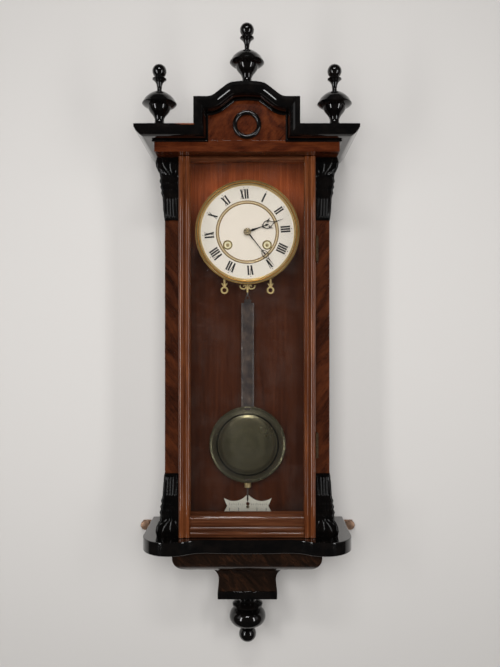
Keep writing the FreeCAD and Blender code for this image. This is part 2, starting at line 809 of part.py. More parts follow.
# ---- dial and hands ----
def make_dial():
    z = dial_height
    front = dial_back + 1.0
    holes = [rod_out(side * winding_x, z - winding_drop, dial_back - 1, bezel_front, grommet_outer)
             for side in (-1, 1)]
    pan = [(0, dial_back), (bezel_outer - 2.0, dial_back), (bezel_outer - 2.0, dial_back - 3.0),
           (bezel_outer, dial_back - 3.0), (bezel_outer, bezel_front - 4.0),
           (bezel_outer - 1.6, bezel_front - 1.2), (bezel_outer - 3.6, bezel_front - 1.8),
           (bezel_outer - 5.6, bezel_front), (bezel_outer - 8.0, bezel_front - 1.0),
           (bezel_inner, bezel_front - 4.0), (bezel_inner, front), (0, front)]
    feet = [rod_out(x, z + dz, front_plate_depth + plate_thickness, dial_back, dial_foot_radius)
            for x in (-dial_foot_x, dial_foot_x) for dz in (dial_foot_rise, -dial_foot_drop)]
    middle = rod_out(0, z, dial_back - 1, bezel_front, 6.0)
    shapes["bezel"] = cut(fused([turned_out(pan, 0, z)] + feet), holes + [middle])
    ring = [(chapter_inner, front), (bezel_inner, front), (bezel_inner, front + dial_thickness),
            (chapter_inner, front + dial_thickness)]
    shapes["dial_ring"] = turned_out(ring, 0, z)
    disc = rod_out(0, z, front, front + dial_thickness, centre_radius)
    shapes["dial_centre"] = cut(disc, holes + [rod_out(0, z, front - 1, front + 5, 5.0)])
    trim = [(centre_radius, front), (chapter_inner, front), (chapter_inner, front + dial_thickness + 0.4),
            (chapter_inner - 1.6, front + dial_thickness + 1.4),
            (centre_radius + 1.6, front + dial_thickness + 1.4),
            (centre_radius, front + dial_thickness + 0.4)]
    grommet = [(grommet_inner, dial_back), (grommet_outer, dial_back),
               (grommet_outer, front + dial_thickness + 0.6),
               (grommet_inner + 1.0, front + dial_thickness + 0.8), (grommet_inner, front + dial_thickness)]
    pieces = [turned_out(trim, 0, z)]
    pieces += [turned_out(grommet, side * winding_x, z - winding_drop) for side in (-1, 1)]
    shapes["dial_trims"] = Part.makeCompound(pieces)


def hand_outline(length, root, waist, tail):
    """Half outline of a scroll hand pointing up: hub, scroll lobe, spear and tip."""
    lobe = length * 0.42
    return [(0, -tail), (root, -tail), ("arc", (root + 1.6, 0), (root, tail)), (waist, tail + 5.0),
            (waist, lobe - 10.0), ("arc", (root + 2.2, lobe), (waist, lobe + 9.0)), (waist, length * 0.66),
            ("arc", (waist + 2.0, length * 0.72), (0, length))]


def hand_shape(length, root, waist, thickness, d0, bore):
    def put(x, z):
        return at(x, 0, z)

    half = [("arc", put(*item[1]), put(*item[2])) if item[0] == "arc" else put(*item)
            for item in hand_outline(length, root, waist, root)]
    solid = extrude_out(half + [half[0]], d0, d0 + thickness)
    whole = fused([solid, mirrored(solid)])
    lobe = length * 0.42
    far = d0 + thickness + 1
    eyes = [rod_out(0, lobe, d0 - 1, far, waist + 1.0), rod_out(0, 0, d0 - 1, far, bore)]
    return cut(whole, eyes)


def turned_hand(shape, angle):
    shape.rotate(FreeCAD.Vector(0, 0, 0), FreeCAD.Vector(0, 1, 0), angle)
    shape.translate(FreeCAD.Vector(0, 0, dial_height))
    return shape


def make_hands():
    hour_depth = dial_back + 5.6
    hour = hand_shape(hour_hand_length, 5.2, 1.5, 0.8, hour_depth, 3.0)
    shapes["hour_hand"] = turned_hand(hour, hour_hand_angle)
    minute = hand_shape(minute_hand_length, 4.2, 1.2, 0.8, hour_depth + 2.0, 1.2)
    collet = turned_out([(1.2, hour_depth + 2.8), (5.0, hour_depth + 2.8), (4.6, hour_depth + 4.2),
                         (1.2, hour_depth + 4.6)], 0, 0)
    shapes["minute_hand"] = turned_hand(fused([minute, collet]), minute_hand_angle)


# ---- wheels ----
def gear(teeth, module, d0, d1, x, z, phase, bore, slim=0.40, crossings=0):
    """A toothed wheel about an axis that points out of the wall."""
    pitch = teeth * module / 2
    tip = pitch + 0.85 * module
    root = pitch - 1.15 * module
    step = 2 * math.pi / teeth
    points = []
    for k in range(teeth):
        middle = phase + k * step
        for radius, share in ((root, -slim * 1.25), (pitch, -slim), (tip, -slim * 0.35),
                              (tip, slim * 0.35), (pitch, slim), (root, slim * 1.25)):
            angle = middle + share * step / 2
            points.append(at(radius * math.sin(angle), 0, radius * math.cos(angle)))
    points.append(points[0])
    disc = extrude_out(points, d0, d1)
    holes = []
    if bore:
        holes.append(rod_out(0, 0, d0 - 1, d1 + 1, bore))
    if crossings:
        inner = 4.5
        outer = root - 2.4
        window = rod_out(0, 0, d0 - 1, d1 + 1, outer).cut(rod_out(0, 0, d0 - 1, d1 + 1, inner))
        arms = []
        for k in range(crossings):
            arm = block(-1.3, 1.3, d0 - 1, d1 + 1, 0, outer + 1)
            arm.rotate(FreeCAD.Vector(0, 0, 0), FreeCAD.Vector(0, 1, 0), 360.0 * k / crossings)
            arms.append(arm)
        holes.append(window.cut(arms))
    if holes:
        disc = cut(disc, holes)
    disc.translate(at(x, 0, z))
    return disc


def on_dial(x, dz):
    return x, dial_height + dz


def train_places():
    """Arbor places (x, height above the dial centre) from the wheel sizes."""
    reach = math.hypot(winding_x, winding_drop)
    mesh = train_module * (barrel_teeth + intermediate_leaves) / 2
    mesh_centre = train_module * (intermediate_teeth + centre_leaves) / 2
    along = (reach ** 2 + mesh_centre ** 2 - mesh ** 2) / (2 * reach)
    off = math.sqrt(mesh_centre ** 2 - along ** 2)
    ux, uz = winding_x / reach, -winding_drop / reach
    inter = (ux * along - uz * off, uz * along + ux * off)
    third_reach = third_module * (centre_teeth + third_leaves) / 2
    third = (-third_reach * math.cos(math.radians(55)), third_reach * math.sin(math.radians(55)))
    escape_reach = escape_module * (third_teeth + escape_leaves) / 2
    escape = (0.0, third[1] + math.sqrt(escape_reach ** 2 - third[0] ** 2))
    return {"barrel": (winding_x, -winding_drop), "strike": (-winding_x, -winding_drop), "centre": (0.0, 0.0),
            "inter": inter, "third": third, "escape": escape,
            "motion": (0.0, -motion_module * (cannon_teeth + minute_teeth) / 2)}


def mesh_phase(driver, driven, place_a, place_b, phase_a):
    """Phase that puts a gap of wheel b opposite wheel a where they meet."""
    dx = place_b[0] - place_a[0]
    dz = place_b[1] - place_a[1]
    toward = math.atan2(dx, dz)
    step_a = 2 * math.pi / driver
    step_b = 2 * math.pi / driven
    ahead = ((toward - phase_a) / step_a) % 1.0
    return toward + math.pi + (ahead + 0.5) * step_b


def arbor(place, d0, d1, radius):
    return rod_out(place[0], dial_height + place[1], d0, d1, radius)


def make_train():
    p = train_places()
    back = back_plate_depth
    front = front_plate_depth + plate_thickness
    t = wheel_thickness

    def wheel(name, teeth, module, d0, d1, phase, bore=0.0, crossings=0):
        x, z = on_dial(*p[name])
        return gear(teeth, module, d0, d1, x, z, phase, bore, 0.40, crossings)

    centre_phase = 0.0
    inter_phase = mesh_phase(centre_leaves, intermediate_teeth, p["centre"], p["inter"], centre_phase)
    barrel_phase = mesh_phase(intermediate_leaves, barrel_teeth, p["inter"], p["barrel"], 0.0)
    third_phase = mesh_phase(centre_teeth, third_leaves, p["centre"], p["third"], 0.0)
    escape_phase = mesh_phase(third_teeth, escape_leaves, p["third"], p["escape"], 0.0)

    for name, side in (("time", "barrel"), ("strike", "strike")):
        x, z = on_dial(*p[side])
        drum = rod_out(x, z, back + 8.0, front_plate_depth - 2.0, drum_radius)
        phase = barrel_phase if name == "time" else 0.0
        great = wheel(side, barrel_teeth, train_module, back + 6.0, back + 8.0, phase)
        hollow = rod_out(x, z, back, front, winding_radius + running_fit)
        shapes[name + "_barrel"] = cut(fused([drum, great]), [hollow])
        shaft = rod_out(x, z, back + 0.2, front + 1.0, winding_radius)
        half = winding_square / 2
        square = block(x - half, x + half, front + 1.0, dial_back + winding_end, z - half, z + half)
        shapes[name + "_arbor"] = fused([shaft, square])

    inter = [wheel("inter", intermediate_teeth, train_module, back + 3.4, back + 3.4 + t, inter_phase, 0, 5),
             wheel("inter", intermediate_leaves, train_module, back + 3.4 + t, back + 9.0, 0.0),
             arbor(p["inter"], back, front, arbor_radius)]
    shapes["intermediate_wheel"] = fused(inter)

    cannon_front = front + 2.4
    hand_depth = dial_back + 7.6
    centre = [wheel("centre", centre_leaves, train_module, back + 2.8, back + 6.0, centre_phase),
              wheel("centre", centre_teeth, third_module, back + 10.0, back + 10.0 + t, 0.0, 0, 5),
              arbor(p["centre"], back, hand_depth + 4.6, 1.2),
              wheel("centre", cannon_teeth, motion_module, front + 0.6, cannon_front, 0.0),
              arbor(p["centre"], cannon_front, cannon_front + 0.4, 1.9)]
    shapes["centre_wheel"] = fused(centre)

    third = [wheel("third", third_leaves, third_module, back + 9.4, back + 14.0, third_phase),
             wheel("third", third_teeth, escape_module, back + 14.0, back + 14.0 + t, 0.0, 0, 5),
             arbor(p["third"], back, front, arbor_radius)]
    shapes["third_wheel"] = fused(third)

    minute_phase = mesh_phase(cannon_teeth, minute_teeth, p["centre"], p["motion"], 0.0)
    hour_phase = mesh_phase(minute_leaves, hour_teeth, p["motion"], p["centre"], 0.0)
    x, z = on_dial(*p["motion"])
    minute = [wheel("motion", minute_teeth, motion_module, front + 0.8, front + 2.2, minute_phase),
              wheel("motion", minute_leaves, hour_module_for(p), front + 2.2, dial_back - 0.3, 0.0)]
    stud_bore = arbor(p["motion"], front, dial_back, 1.0 + running_fit)
    shapes["minute_wheel"] = cut(fused(minute), [stud_bore])
    hour_wheel = wheel("centre", hour_teeth, hour_module_for(p), front + 2.9, dial_back - 0.5, hour_phase)
    pipe = arbor(p["centre"], front + 2.9, dial_back + 6.4, 3.0)
    pipe_bore = arbor(p["centre"], front, dial_back + 8.0, 1.9 + running_fit)
    shapes["hour_wheel"] = cut(fused([hour_wheel, pipe]), [pipe_bore])

    make_escape_wheel(p, escape_phase)


def hour_module_for(p):
    """Module that puts the hour pair on the same two centres as the minute pair."""
    return 2 * abs(p["motion"][1]) / (minute_leaves + hour_teeth)


def make_escape_wheel(p, phase):
    back = back_plate_depth
    x, z = on_dial(*p["escape"])
    points = []
    step = 2 * math.pi / escape_teeth
    root = escape_radius - 2.2
    for k in range(escape_teeth):
        start = k * step
        for radius, share in ((root, 0.0), (escape_radius, 0.42), (escape_radius, 0.50), (root, 0.62)):
            angle = start + share * step
            points.append(at(radius * math.sin(angle), 0, radius * math.cos(angle)))
    points.append(points[0])
    rim = extrude_out(points, back + 20.0, back + 21.4)
    rim.translate(at(x, 0, z))
    leaves = gear(escape_leaves, escape_module, back + 13.4, back + 17.0, x, z, phase, 0)
    staff = arbor(p["escape"], back, front_plate_depth + plate_thickness, 0.7)
    shapes["escape_wheel"] = fused([rim, leaves, staff])


def make_plates():
    p = train_places()
    z = dial_height
    holes = [("barrel", winding_radius), ("strike", winding_radius), ("centre", 1.2), ("inter", arbor_radius),
             ("third", arbor_radius), ("escape", 0.7)]
    verge_z = suspension_height - dial_height
    for name, depth in (("back_plate", back_plate_depth), ("front_plate", front_plate_depth)):
        plate = block(-plate_half_width, plate_half_width, depth, depth + plate_thickness,
                      z - plate_below, z + plate_above)
        tools = [arbor(p[key], depth - 1, depth + 4, radius + running_fit) for key, radius in holes]
        tools.append(arbor((0, verge_z), depth - 1, depth + 4, arbor_radius + running_fit))
        tools.append(arbor(hammer_place(), depth - 1, depth + 4, arbor_radius + running_fit))
        shapes[name] = cut(plate, tools)
    pillars = [rod_out(x, z + dz, back_plate_depth + plate_thickness, front_plate_depth, pillar_radius)
               for x, dz in pillar_places()]
    shapes["back_plate"] = fused([shapes["back_plate"], suspension_cock()] + pillars)
    stud = arbor(p["motion"], front_plate_depth + plate_thickness, dial_back - 0.3, 1.0)
    shapes["front_plate"] = fused([shapes["front_plate"], stud])


def pillar_places():
    return ((-seat_screw_x, -pillar_drop), (seat_screw_x, -pillar_drop),
            (-pillar_x, pillar_above), (pillar_x, pillar_above))


def hammer_place():
    return (hammer_pivot_x, -hammer_pivot_drop)


def suspension_cock():
    """Bracket behind the back plate that holds the suspension spring."""
    top = suspension_height + 12.0
    low = suspension_height + 3.5
    bar = block(-12.0, 12.0, pendulum_depth - 5.0, pendulum_depth + 5.0, low, top)
    legs = [block(x, x + 4.0, pendulum_depth, back_plate_depth, low, top) for x in (-12.0, 8.0)]
    slot = block(-0.8, 0.8, pendulum_depth - 3.2, pendulum_depth + 3.2, low - 1, suspension_height + 8.0)
    return cut(fused([bar] + legs), [slot])


def make_anchor():
    """Recoil anchor on its arbor, with the crutch that leads the pendulum."""
    p = train_places()
    verge = (0.0, suspension_height - dial_height)
    z = suspension_height
    gap = verge[1] - p["escape"][1]
    pallet_depth = back_plate_depth + 19.6
    span = math.radians(48)
    clear = escape_radius + 1.1
    tip_x = clear * math.sin(span)
    tip_z = z - gap + clear * math.cos(span)

    def q(x, dz):
        return at(x, 0, dz)

    half = [q(0, z + 2.6), ("arc", q(tip_x * 0.62, z + 0.6), q(tip_x + 2.0, tip_z + 3.4)),
            q(tip_x + 1.8, tip_z - 0.8),
            q(tip_x, tip_z), ("arc", q(tip_x * 0.52, z - 3.6), q(0, z - 2.0)), q(0, z + 2.6)]
    blade = extrude_out(half, pallet_depth, pallet_depth + 2.2)
    shaft = arbor(verge, pendulum_depth + 4.0, front_plate_depth + plate_thickness, arbor_radius)
    low = z - 45.0
    inner = leader_radius + 0.25
    crutch = [block(-1.2, 1.2, 47.5, 49.5, low, z),
              block(-inner - 1.2, inner + 1.2, 45.4, 49.5, low, low + 3.0)]
    prongs = [block(x, x + 1.2, 40.5, 46.0, low, low + 3.0) for x in (inner, -inner - 1.2)]
    shapes["anchor"] = fused([blade, mirrored(blade), shaft] + crutch + prongs)


# ---- pendulum ----
def make_pendulum():
    d = pendulum_depth
    z = suspension_height
    blade = block(-0.15, 0.15, d - 2.5, d + 2.5, z - 12.0, z + 6.0)
    chops = block(-3.0, 3.0, d - 2.8, d + 2.8, z - 17.0, z - 9.0)
    wire = rod_up(0, d, rod_top + 9.4 + eye_radius + 0.1, z - 16.0, leader_radius)
    shapes["suspension"] = fused([blade, chops, wire])

    half = rod_width / 2
    deep = rod_thickness / 2

    def p(x, depth):
        return at(x, depth, rod_bottom)

    section = [p(-half, d - deep), p(half, d - deep), p(half, d + deep - 2.0),
               ("arc", p(half * 0.55, d + deep - 0.5), p(2.0, d + deep)), p(-2.0, d + deep),
               ("arc", p(-half * 0.55, d + deep - 0.5), p(-half, d + deep - 2.0)),
               p(-half, d - deep)]
    wood = face_from(section).extrude(FreeCAD.Vector(0, 0, rod_top - rod_bottom))
    cap = block(-6.0, 6.0, d - 2.0, d + 2.0, rod_top, rod_top + 6.0)
    eye_bore = eye_radius - 1.5
    eye = turned_out([(eye_bore, d - 1.3), (eye_radius, d - 1.3), (eye_radius, d + 1.3), (eye_bore, d + 1.3)],
                     0, rod_top + 9.4)
    screw = rod_up(0, d, pointer_tip + 3.0, rod_bottom, 1.5)
    tip = Part.makeCone(0.3, 1.5, 3.0, at(0, d, pointer_tip), FreeCAD.Vector(0, 0, 1))
    shapes["pendulum_rod"] = fused([wood, cap, eye, screw, tip])

    t = bob_half_thickness
    rim = bob_radius
    lens = [(0, d - t + 1.0), (rim - 6.0, d - 5.0), (rim, d - 2.0), (rim, d + 2.5), (rim - 1.4, d + 4.4),
            (rim - 4.0, d + 3.6), (bob_face_radius + 1.6, d + 5.0), (bob_face_radius, d + 4.2),
            (bob_face_radius * 0.7, d + 7.6), (bob_face_radius * 0.35, d + t - 1.3), (0, d + t - 0.6)]
    under = bob_height - rim - 1
    over = bob_height + rim + 1
    channel = block(-half - 0.3, half + 0.3, d - deep - 0.3, d + deep + 0.3, under, over)
    slit = block(-2.3, 2.3, d, d + deep + 0.3, under, over)
    bob = cut(turned_out(lens, 0, bob_height), [channel, slit])
    shapes["bob"] = bob

    nut_top = bob_height - bob_radius - 0.3
    nut = rod_up(0, d, nut_top - nut_height, nut_top, nut_radius)
    groove = rod_up(0, d, nut_top - nut_height - 1, nut_top + 1, 1.5 + running_fit)
    shapes["rating_nut"] = cut(nut, [groove])


def make_beat_scale():
    """Cartouche plate on the backboard behind the pointer, hung on one slotted hole."""
    w = scale_half_width

    def p(x, rise):
        return at(x, 0, pointer_tip + rise)

    half = [p(0, scale_above), ("arc", p(7.0, 0.5), p(15.0, -4.0)), ("arc", p(27.0, -5.6), p(w, 0)),
            ("arc", p(w - 3.4, -8.5), p(w - scale_notch, -14.4)),
            ("arc", p(w - 3.2, -19.5), p(w, -scale_below)),
            p(0, -scale_below), p(0, scale_above)]
    plate = extrude_out(half, back_thickness, back_thickness + 1.4)
    hole_z = pointer_tip - scale_hole_drop
    hole = rod_out(0, hole_z, back_thickness - 1, back_thickness + 2, scale_hole_radius)
    shapes["beat_scale"] = cut(fused([plate, mirrored(plate)]), [hole])


# ---- seat of the movement, gong and hammer ----
def make_bracket():
    """Bracket that carries the movement, with the double scroll under its middle."""
    top = dial_height - plate_below
    low = top - bracket_thickness
    front = front_plate_depth + plate_thickness
    foot = block(-bracket_half_width, bracket_half_width, back_thickness, back_thickness + 3.0,
                 low - bracket_thickness, top)
    scroll_z = low - scroll_drop
    middle = (scroll_back + scroll_front) / 2
    arms = []
    for side in (-1, 1):
        x = side * seat_screw_x
        arms.append(block(x - arm_half, x + arm_half, back_thickness, front, low, top))
    bar = block(-seat_screw_x - 0.4, seat_screw_x + 0.4, scroll_back - 1.5, scroll_front + 1.5,
                low, low + bracket_thickness / 2)
    stem = block(-1.5, 1.5, scroll_back, scroll_front, scroll_z, low)
    tie = block(-3.2, 3.2, scroll_back, scroll_front, scroll_z - 2.2, scroll_z + 1.4)
    drop = block(-1.5, 1.5, scroll_back, scroll_front, scroll_z - scroll_tail, scroll_z)
    scroll = scroll_shape(scroll_z)
    holes = [rod_up(side * seat_screw_x, middle, low - 1, top + 1, seat_screw_radius + 0.1)
             for side in (-1, 1)]
    whole = fused([foot, bar, stem, tie, drop, scroll, mirrored(scroll)] + arms)
    shapes["movement_bracket"] = cut(whole, holes)
    make_bracket_screws(low, middle)


def scroll_shape(z):
    """A flat C scroll that curls inwards, the right one of the pair."""
    def p(x, rise):
        return at(x, 0, z + rise)

    tip = p(scroll_reach, 3.4)
    outline = [tip, ("arc", p(scroll_reach - 1.2, -1.8), p(7.6, -3.6)), ("arc", p(2.8, -2.4), p(1.8, 1.0)),
               ("arc", p(3.4, 4.2), p(6.4, 3.4)), ("arc", p(7.8, 1.9), p(6.6, 0.6)), p(5.6, 1.4),
               ("arc", p(5.5, 2.1), p(4.9, 2.3)), ("arc", p(3.8, 1.8), p(3.7, 0.6)),
               ("arc", p(4.7, -1.2), p(7.4, -1.6)), ("arc", p(10.4, -0.6), p(scroll_reach - 1.5, 3.9)), tip]
    return extrude_out(outline, scroll_back, scroll_front)


def make_bracket_screws(low, middle):
    """Ring-headed thumbscrews with a winged collar, which draw the movement down on its seat."""

    screws = []
    ring_z = low - seat_ring_drop
    pillar_foot = dial_height - pillar_drop - pillar_radius
    radius = seat_ring_radius
    back = middle - 1.6
    front = middle + 1.6
    for side in (-1, 1):
        x = side * seat_screw_x
        shank = rod_up(x, middle, ring_z + radius - 1.4, pillar_foot - 0.1, seat_screw_radius)
        collar = rod_up(x, middle, low - 5.0, low - 0.1, 2.1 * seat_screw_radius)
        ring = turned_out([(radius * 0.58, back), (radius, back), (radius, front), (radius * 0.58, front)],
                          x, ring_z)

        def p(across, rise):
            return at(x + across, 0, ring_z + radius + rise)

        wings = [p(-1.8, -1.0), p(1.8, -1.0), ("arc", p(3.4, 2.0), p(wing_reach, 5.0)),
                 p(wing_reach - 1.4, 6.0), ("arc", p(0, 3.2), p(1.4 - wing_reach, 6.0)), p(-wing_reach, 5.0),
                 ("arc", p(-3.4, 2.0), p(-1.8, -1.0))]
        screws.append(fused([shank, collar, ring, extrude_out(wings, middle - 1.2, middle + 1.2)]))
    shapes["bracket_screws"] = Part.makeCompound(screws)


def gong_reach():
    return gong_start + 2 * gong_turns * gong_growth


def make_gong():
    """Flat coil gong on its post, behind the movement."""
    centre_z = dial_height - gong_drop
    outer, inner = [], []
    radius = gong_start
    x = 0.0
    for k in range(2 * gong_turns):
        side = 1 if k % 2 == 0 else -1
        for loop, r in ((outer, radius), (inner, radius - gong_wire)):
            loop.append((at(x - side * r, 0, 0), at(x, 0, side * r), at(x + side * r, 0, 0)))
        x -= side * gong_growth
        radius += gong_growth
    edges = [Part.Arc(*points).toShape() for points in outer + inner]
    edges.append(Part.LineSegment(outer[0][0], inner[0][0]).toShape())
    edges.append(Part.LineSegment(outer[-1][2], inner[-1][2]).toShape())
    wire_loop = Part.Wire(Part.__sortEdges__(edges))
    coil = Part.Face(wire_loop).extrude(FreeCAD.Vector(0, -gong_wire, 0))
    coil.translate(at(0, gong_depth, centre_z))
    post = rod_out(0, centre_z, back_thickness, gong_depth + gong_wire + 1.8, gong_post_radius)
    arm = block(-gong_start, 0, gong_depth, gong_depth + gong_wire,
                centre_z - gong_wire / 2, centre_z + gong_wire / 2)
    shapes["gong"] = fused([post, arm, coil])


def make_hammer():
    x, z = on_dial(*hammer_place())
    back = back_plate_depth - hammer_plate_gap
    front = back - hammer_arm
    half = hammer_arm
    shaft = rod_out(x, z, front, front_plate_depth + plate_thickness, arbor_radius)
    head_x = -(gong_reach() + hammer_rest_gap + hammer_head_radius)
    head_z = dial_height - gong_drop
    arm = block(head_x, x + half, front, back, z - half, z + half)
    rise = block(head_x - half, head_x + half, front, back, z - half, head_z + half)
    head = rod_out(head_x, head_z, gong_depth - 3.0, back, hammer_head_radius)
    shapes["hammer"] = fused([shaft, arm, rise, head])


# ---- fittings on the back ----
def hanger_block(room=0.0):
    """The hanger plate; with room, the recess that it is let into."""
    wide = hanger_plate_half + room
    tall = hanger_plate_rise + room
    return block(-wide, wide, 0, hanger_plate_thickness, hanger_height - tall, hanger_height + tall)


def make_hanger():
    plate = hanger_block()
    bore = rod_out(0, hanger_height, -1, hanger_plate_thickness + 1, hanger_bore)
    shapes["hanger_plate"] = cut(plate, [bore])


def make_steady_screws():
    brackets = []
    inner = shelf_half_width - steady_plate_overlap
    reach = steady_x + steady_plate_end
    half = steady_plate_half
    tail = steady_screw_length - steady_head_length
    head = steady_screw_length
    for side, name in ((-1, "left"), (1, "right")):
        x = side * steady_x
        x0, x1 = (inner, reach) if side > 0 else (-reach, -inner)
        plate = block(x0, x1, plate_wall_gap, steady_plate_thickness,
                      steady_height - half, steady_height + half)
        boss = rod_out(x, steady_height, plate_wall_gap, steady_boss_length, steady_screw_radius * 2)
        bore = rod_out(x, steady_height, -1, steady_boss_length + 1, steady_screw_radius + running_fit)
        brackets.append(cut(fused([plate, boss]), [bore]))
        profile = [(0, 0.3), (steady_screw_radius / 2, 0.3), (steady_screw_radius, 1.6),
                   (steady_screw_radius, tail),
                   (steady_head_radius / 2, tail + 0.6), (steady_head_radius - 1.0, tail + 2.0),
                   (steady_head_radius, tail + 3.0), (steady_head_radius, head - 2.2),
                   (steady_head_radius - 1.2, head - 0.8), (steady_head_radius / 3, head - 0.2), (0, head)]
        shapes["steady_screw_" + name] = turned_out(profile, x, steady_height)
    shapes["steady_brackets"] = Part.makeCompound(brackets)


def build():
    for make in (make_backboard, make_case_sides, make_crown_box, make_cornices, make_pediment_moulding,
                 make_tympanum, make_ring_ornament, make_finials, make_corbels, make_shelf, make_console,
                 make_pendant, make_door, make_hinges, make_dial, make_hands, make_train, make_plates,
                 make_anchor, make_pendulum, make_beat_scale, make_bracket, make_gong, make_hammer,
                 make_hanger, make_steady_screws):
        make()


def export():
    os.makedirs("parts", exist_ok=True)
    for name, shape in shapes.items():
        placed = shape.copy()
        placed.translate(FreeCAD.Vector(0, 0, -hanger_height))
        if not placed.isValid():
            print("not valid:", name)
        placed.exportStep("parts/" + name + ".step")
    print(len(shapes), "nodes")


if __name__ == "__main__":
    build()
    export()
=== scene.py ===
import bpy
import bmesh
import json
import math
from mathutils import Matrix, Vector

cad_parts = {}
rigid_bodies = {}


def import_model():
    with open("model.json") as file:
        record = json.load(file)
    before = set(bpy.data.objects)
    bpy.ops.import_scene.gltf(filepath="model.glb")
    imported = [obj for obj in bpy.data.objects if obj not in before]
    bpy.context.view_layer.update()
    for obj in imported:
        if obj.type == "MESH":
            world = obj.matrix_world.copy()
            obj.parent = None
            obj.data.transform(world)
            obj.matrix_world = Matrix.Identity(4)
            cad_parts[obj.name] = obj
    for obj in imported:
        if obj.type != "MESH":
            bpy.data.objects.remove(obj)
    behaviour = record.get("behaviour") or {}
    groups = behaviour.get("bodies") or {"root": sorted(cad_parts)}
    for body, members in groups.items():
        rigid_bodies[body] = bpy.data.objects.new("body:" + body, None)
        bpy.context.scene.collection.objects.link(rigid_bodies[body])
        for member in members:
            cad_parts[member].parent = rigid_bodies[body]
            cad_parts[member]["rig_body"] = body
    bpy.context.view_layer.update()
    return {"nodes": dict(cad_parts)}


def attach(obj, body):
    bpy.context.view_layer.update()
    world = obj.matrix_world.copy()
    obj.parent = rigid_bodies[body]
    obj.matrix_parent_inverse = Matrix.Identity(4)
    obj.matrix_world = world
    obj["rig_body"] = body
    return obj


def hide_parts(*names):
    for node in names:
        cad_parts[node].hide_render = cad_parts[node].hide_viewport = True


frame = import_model()
nodes = frame["nodes"]
print("frame loaded:", len(nodes), "nodes")

# Heights are counted from the top of the shelf and depths out from the wall, in millimetres
clock = {"hangerHeight": 632.0, "dialHeight": 503.6, "caseHeight": 621.0, "bobHeight": 138.0}


def at(x, depth, height):
    return Vector((x, -depth, height - clock["hangerHeight"])) / 1000


view = {"x": 11.2, "distance": 1220.0, "height": 330.0, "lens": 48.24, "shiftX": -0.008, "shiftY": 0.003}
camera = bpy.data.objects.new("camera", bpy.data.cameras.new("camera"))
camera.data.sensor_fit = "HORIZONTAL"
camera.data.lens = view["lens"]
camera.data.shift_x = view["shiftX"]
camera.data.shift_y = view["shiftY"]
camera.location = at(view["x"], view["distance"], view["height"])
camera.rotation_euler = (math.radians(90), 0, 0)
bpy.context.scene.collection.objects.link(camera)
bpy.context.scene.camera = camera


class Wire:
    # a socket, so that shader maths can be written as an expression
    def __init__(self, paint, socket):
        self.paint = paint
        self.socket = socket

    def maths(self, operation, *values):
        return self.paint.node("ShaderNodeMath", {"operation": operation}, dict(enumerate(values)))

    def __add__(self, other):
        return self.maths("ADD", self, other)

    def __radd__(self, other):
        return self.maths("ADD", other, self)

    def __sub__(self, other):
        return self.maths("SUBTRACT", self, other)

    def __rsub__(self, other):
        return self.maths("SUBTRACT", other, self)

    def __mul__(self, other):
        return self.maths("MULTIPLY", self, other)

    def __rmul__(self, other):
        return self.maths("MULTIPLY", other, self)


finish = {}


class Paint:
    # one material, made node by node and then kept among the finishes
    def __init__(self, name):
        self.name = name
        self.material = bpy.data.materials.new(name)
        self.material.use_nodes = True
        self.tree = self.material.node_tree
        self.tree.nodes.clear()

    def node(self, kind, settings=None, sockets=None, output=0):
        made = self.tree.nodes.new(kind)
        for key, value in (settings or {}).items():
            if key == "stops":
                ramp = made.color_ramp
                for place, colour in value[1:-1]:
                    ramp.elements.new(place)
                for element, (place, colour) in zip(ramp.elements, value):
                    element.position = place
                    element.color = (*colour, 1.0)
            else:
                setattr(made, key, value)
        for key, value in (sockets or {}).items():
            if isinstance(value, Wire):
                self.tree.links.new(value.socket, made.inputs[key])
            elif isinstance(value, tuple) and len(value) == 3 and made.inputs[key].type == "RGBA":
                made.inputs[key].default_value = (*value, 1.0)
            else:
                made.inputs[key].default_value = value
        return Wire(self, made.outputs[output]) if made.outputs else None

    def place(self, turn=(0, 0, 0), stretch=(1, 1, 1), shift=(0, 0, 0)):
        # object coordinates, turned and then stretched
        coords = self.node("ShaderNodeTexCoord", output="Object")
        turned = self.node("ShaderNodeMapping", {}, {"Vector": coords, "Rotation": turn, "Location": shift})
        return self.node("ShaderNodeVectorMath", {"operation": "MULTIPLY"}, {0: turned, 1: stretch})

    def noise(self, coords, scale, detail=2.0, roughness=0.5, distortion=0.0):
        return self.node("ShaderNodeTexNoise", {}, {"Vector": coords, "Scale": scale, "Detail": detail,
                                                    "Roughness": roughness, "Distortion": distortion})

    def axis(self, coords, number):
        return self.node("ShaderNodeSeparateXYZ", {}, {"Vector": coords}, number)

    def away(self, coords, point, stretch):
        # how far each place is from a point, with the three directions stretched
        offset = self.node("ShaderNodeVectorMath", {"operation": "SUBTRACT"}, {0: coords, 1: tuple(point)})
        flat = self.node("ShaderNodeVectorMath", {"operation": "MULTIPLY"}, {0: offset, 1: stretch})
        return self.node("ShaderNodeVectorMath", {"operation": "LENGTH"}, {0: flat}, "Value")

    def ramp(self, factor, stops):
        return self.node("ShaderNodeValToRGB", {"stops": stops}, {"Fac": factor})

    def mix(self, factor, first, second, blend="MIX"):
        return self.node("ShaderNodeMix", {"data_type": "RGBA", "blend_type": blend},
                         {"Factor": factor, 6: first, 7: second}, 2)

    def range(self, value, low, high, newLow=0.0, newHigh=1.0):
        return self.node("ShaderNodeMapRange", {}, {"Value": value, "From Min": low, "From Max": high,
                                                    "To Min": newLow, "To Max": newHigh})

    def bump(self, height, strength, distance):
        return self.node("ShaderNodeBump", {}, {"Height": height, "Strength": strength, "Distance": distance})

    def surface(self, sockets):
        shader = self.node("ShaderNodeBsdfPrincipled", {}, sockets)
        self.node("ShaderNodeOutputMaterial", {}, {"Surface": shader})
        finish[self.name] = self.material


